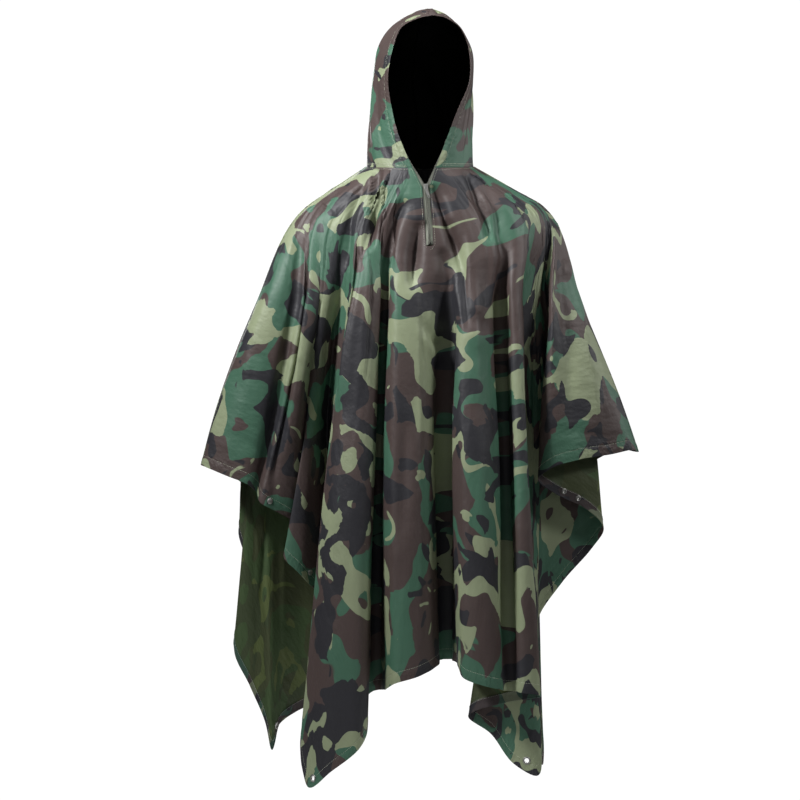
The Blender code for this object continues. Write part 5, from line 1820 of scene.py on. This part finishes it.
class PONCHO_OT_stitching(bpy.types.Operator):
    """Sew the hems, the neck seam, the hood edge and the zip"""

    bl_idname = "poncho.stitching"
    bl_label = "Stitching"

    def execute(self, context):
        made = surfaces()
        half = sizes().cloth / MM / 2
        thread, pitch = sizes().thread / MM, sizes().stitch_pitch / MM
        left, right, back, closed = (made[word] for word in ("left", "right", "back", "closed"))
        outer, inner = half + 0.05, -(half + sizes().hem_fold / MM + 0.05)
        front = [hem_line(left, HEM_WIDTH, outer), hem_line(right, HEM_WIDTH, outer),
                 hem_line(left, HEM_WIDTH - 1, inner), hem_line(right, HEM_WIDTH - 1, inner),
                 row_line(left, EDGE_STITCH, outer, 0, -3), row_line(right, EDGE_STITCH, outer, 3),
                 side_line(left, ZIP_STITCH, outer, 1, 1, closed),
                 side_line(right, ZIP_STITCH, outer, 0, 1, closed),
                 self.zip_end(left, right, closed, outer)]
        lift = half + 0.62
        rear = [hem_line(back, HEM_WIDTH, outer), hem_line(back, HEM_WIDTH - 1, inner),
                row_line(back, EDGE_STITCH, outer),
                side_line(left, EDGE_STITCH, lift, 0), side_line(back, EDGE_STITCH, lift, 0),
                side_line(right, EDGE_STITCH, lift, 1), side_line(back, EDGE_STITCH, lift, 1)]
        hood, neck = [], []
        for cloth in (made["hood_left"], made["hood_right"]):
            hood += [side_line(cloth, HOOD_HEM, outer, 0, 0, -3),
                     side_line(cloth, HOOD_SEAM_STITCH, lift, 1, 2, -2)]
            neck += [row_line(cloth, HOOD_ALLOWANCE + up, outer, 4) for up in NECK_STITCHES]
        for name, lines, heft in (
            ("stitching_front", front, 1.0), ("stitching_back", rear, 1.0),
            ("stitching_hood", hood, 1.0), ("stitching_neck", neck, NECK_THREAD),
        ):
            new_piece(name, stitches(lines, thread * heft, pitch), [sewing_thread])
        return {"FINISHED"}

    @staticmethod
    def zip_end(left, right, closed, lift):
        """The rounded line of stitches below the zip."""
        start, start_out = (values[-1] for values in side_line(left, ZIP_STITCH, lift, 1, 1, closed))
        end, end_out = (values[-1] for values in side_line(right, ZIP_STITCH, lift, 0, 1, closed))
        down = unit(left.points[closed + 3, -1] - left.points[closed - 3, -1])
        middle, reach = (start + end) / 2, (end - start) / 2
        angle = np.linspace(0, np.pi, 16)
        points = middle - np.cos(angle)[:, None] * reach
        points = points + np.sin(angle)[:, None] * down * ZIP_END_DROP
        normal = unit(start_out + end_out)
        return points + normal * 0.15, np.tile(normal, (16, 1))


class PONCHO_OT_stage(bpy.types.Operator):
    """Lay the pale floor and set the lights and the camera"""

    bl_idname = "poncho.stage"
    bl_label = "Stage"

    def execute(self, context):
        bm = bmesh.new()
        bmesh.ops.create_circle(bm, cap_ends=True, segments=96, radius=FLOOR_RADIUS)
        bmesh.ops.translate(bm, vec=(0, 0, FLOOR_Z), verts=bm.verts)
        new_object("floor", bm, [pale_floor])

        for name, place, aim, size, spread, power in LIGHTS:
            light = bpy.data.lights.new(name, "AREA")
            light.size = size
            light.spread = math.radians(spread)
            light.energy = power
            lamp = bpy.data.objects.new(name, light)
            lamp.location = place
            lamp.rotation_euler = (Vector(aim) - Vector(place)).to_track_quat("-Z", "Y").to_euler()
            context.scene.collection.objects.link(lamp)

        world = bpy.data.worlds.new("studio")
        world.use_nodes = True
        tree = world.node_tree
        ground, bright = tree.nodes["Background"], tree.nodes.new("ShaderNodeBackground")
        for node, strength in ((ground, WORLD_LIGHT), (bright, WORLD_SEEN)):
            node.inputs["Color"].default_value = (1, 1, 1, 1)
            node.inputs["Strength"].default_value = strength
        path = tree.nodes.new("ShaderNodeLightPath")
        mix = tree.nodes.new("ShaderNodeMixShader")
        tree.links.new(path.outputs["Is Camera Ray"], mix.inputs[0])
        tree.links.new(ground.outputs[0], mix.inputs[1])
        tree.links.new(bright.outputs[0], mix.inputs[2])
        tree.links.new(mix.outputs[0], tree.nodes["World Output"].inputs["Surface"])
        context.scene.world = world

        lens = bpy.data.cameras.new("camera")
        lens.lens = CAMERA_LENS
        lens.sensor_width = CAMERA_SENSOR
        camera = bpy.data.objects.new("camera", lens)
        camera.location = CAMERA_PLACE
        camera.rotation_euler = (math.radians(90), 0, 0)
        context.scene.collection.objects.link(camera)
        context.scene.camera = camera
        context.scene.view_settings.view_transform = "Standard"
        return {"FINISHED"}


class PONCHO_PT_panel(bpy.types.Panel):
    """Sidebar panel with the poncho's pieces"""

    bl_idname = "PONCHO_PT_panel"
    bl_label = "Rain Poncho"
    bl_space_type = "VIEW_3D"
    bl_region_type = "UI"
    bl_category = "Poncho"

    def draw(self, context):
        for group in (context.scene.poncho_sizes, context.scene.poncho_colours):
            box = self.layout.box()
            for name in group.__annotations__:
                box.prop(group, name)
        for operator in OPERATORS:
            self.layout.operator(operator.bl_idname)


OPERATORS = (
    PONCHO_OT_front, PONCHO_OT_back, PONCHO_OT_hood, PONCHO_OT_seams, PONCHO_OT_zip,
    PONCHO_OT_slider, PONCHO_OT_eyelets, PONCHO_OT_studs, PONCHO_OT_stitching, PONCHO_OT_stage,
)
CLASSES = (PonchoSizes, PonchoColours, *OPERATORS, PONCHO_PT_panel)


def register():
    for item in CLASSES:
        bpy.utils.register_class(item)
    bpy.types.Scene.poncho_sizes = PointerProperty(type=PonchoSizes)
    bpy.types.Scene.poncho_colours = PointerProperty(type=PonchoColours)


def unregister():
    del bpy.types.Scene.poncho_colours
    del bpy.types.Scene.poncho_sizes
    for item in reversed(CLASSES):
        bpy.utils.unregister_class(item)


def main():
    register()
    for operator in OPERATORS:
        getattr(bpy.ops.poncho, operator.bl_idname.split(".")[1])()


if __name__ == "__main__":
    main()
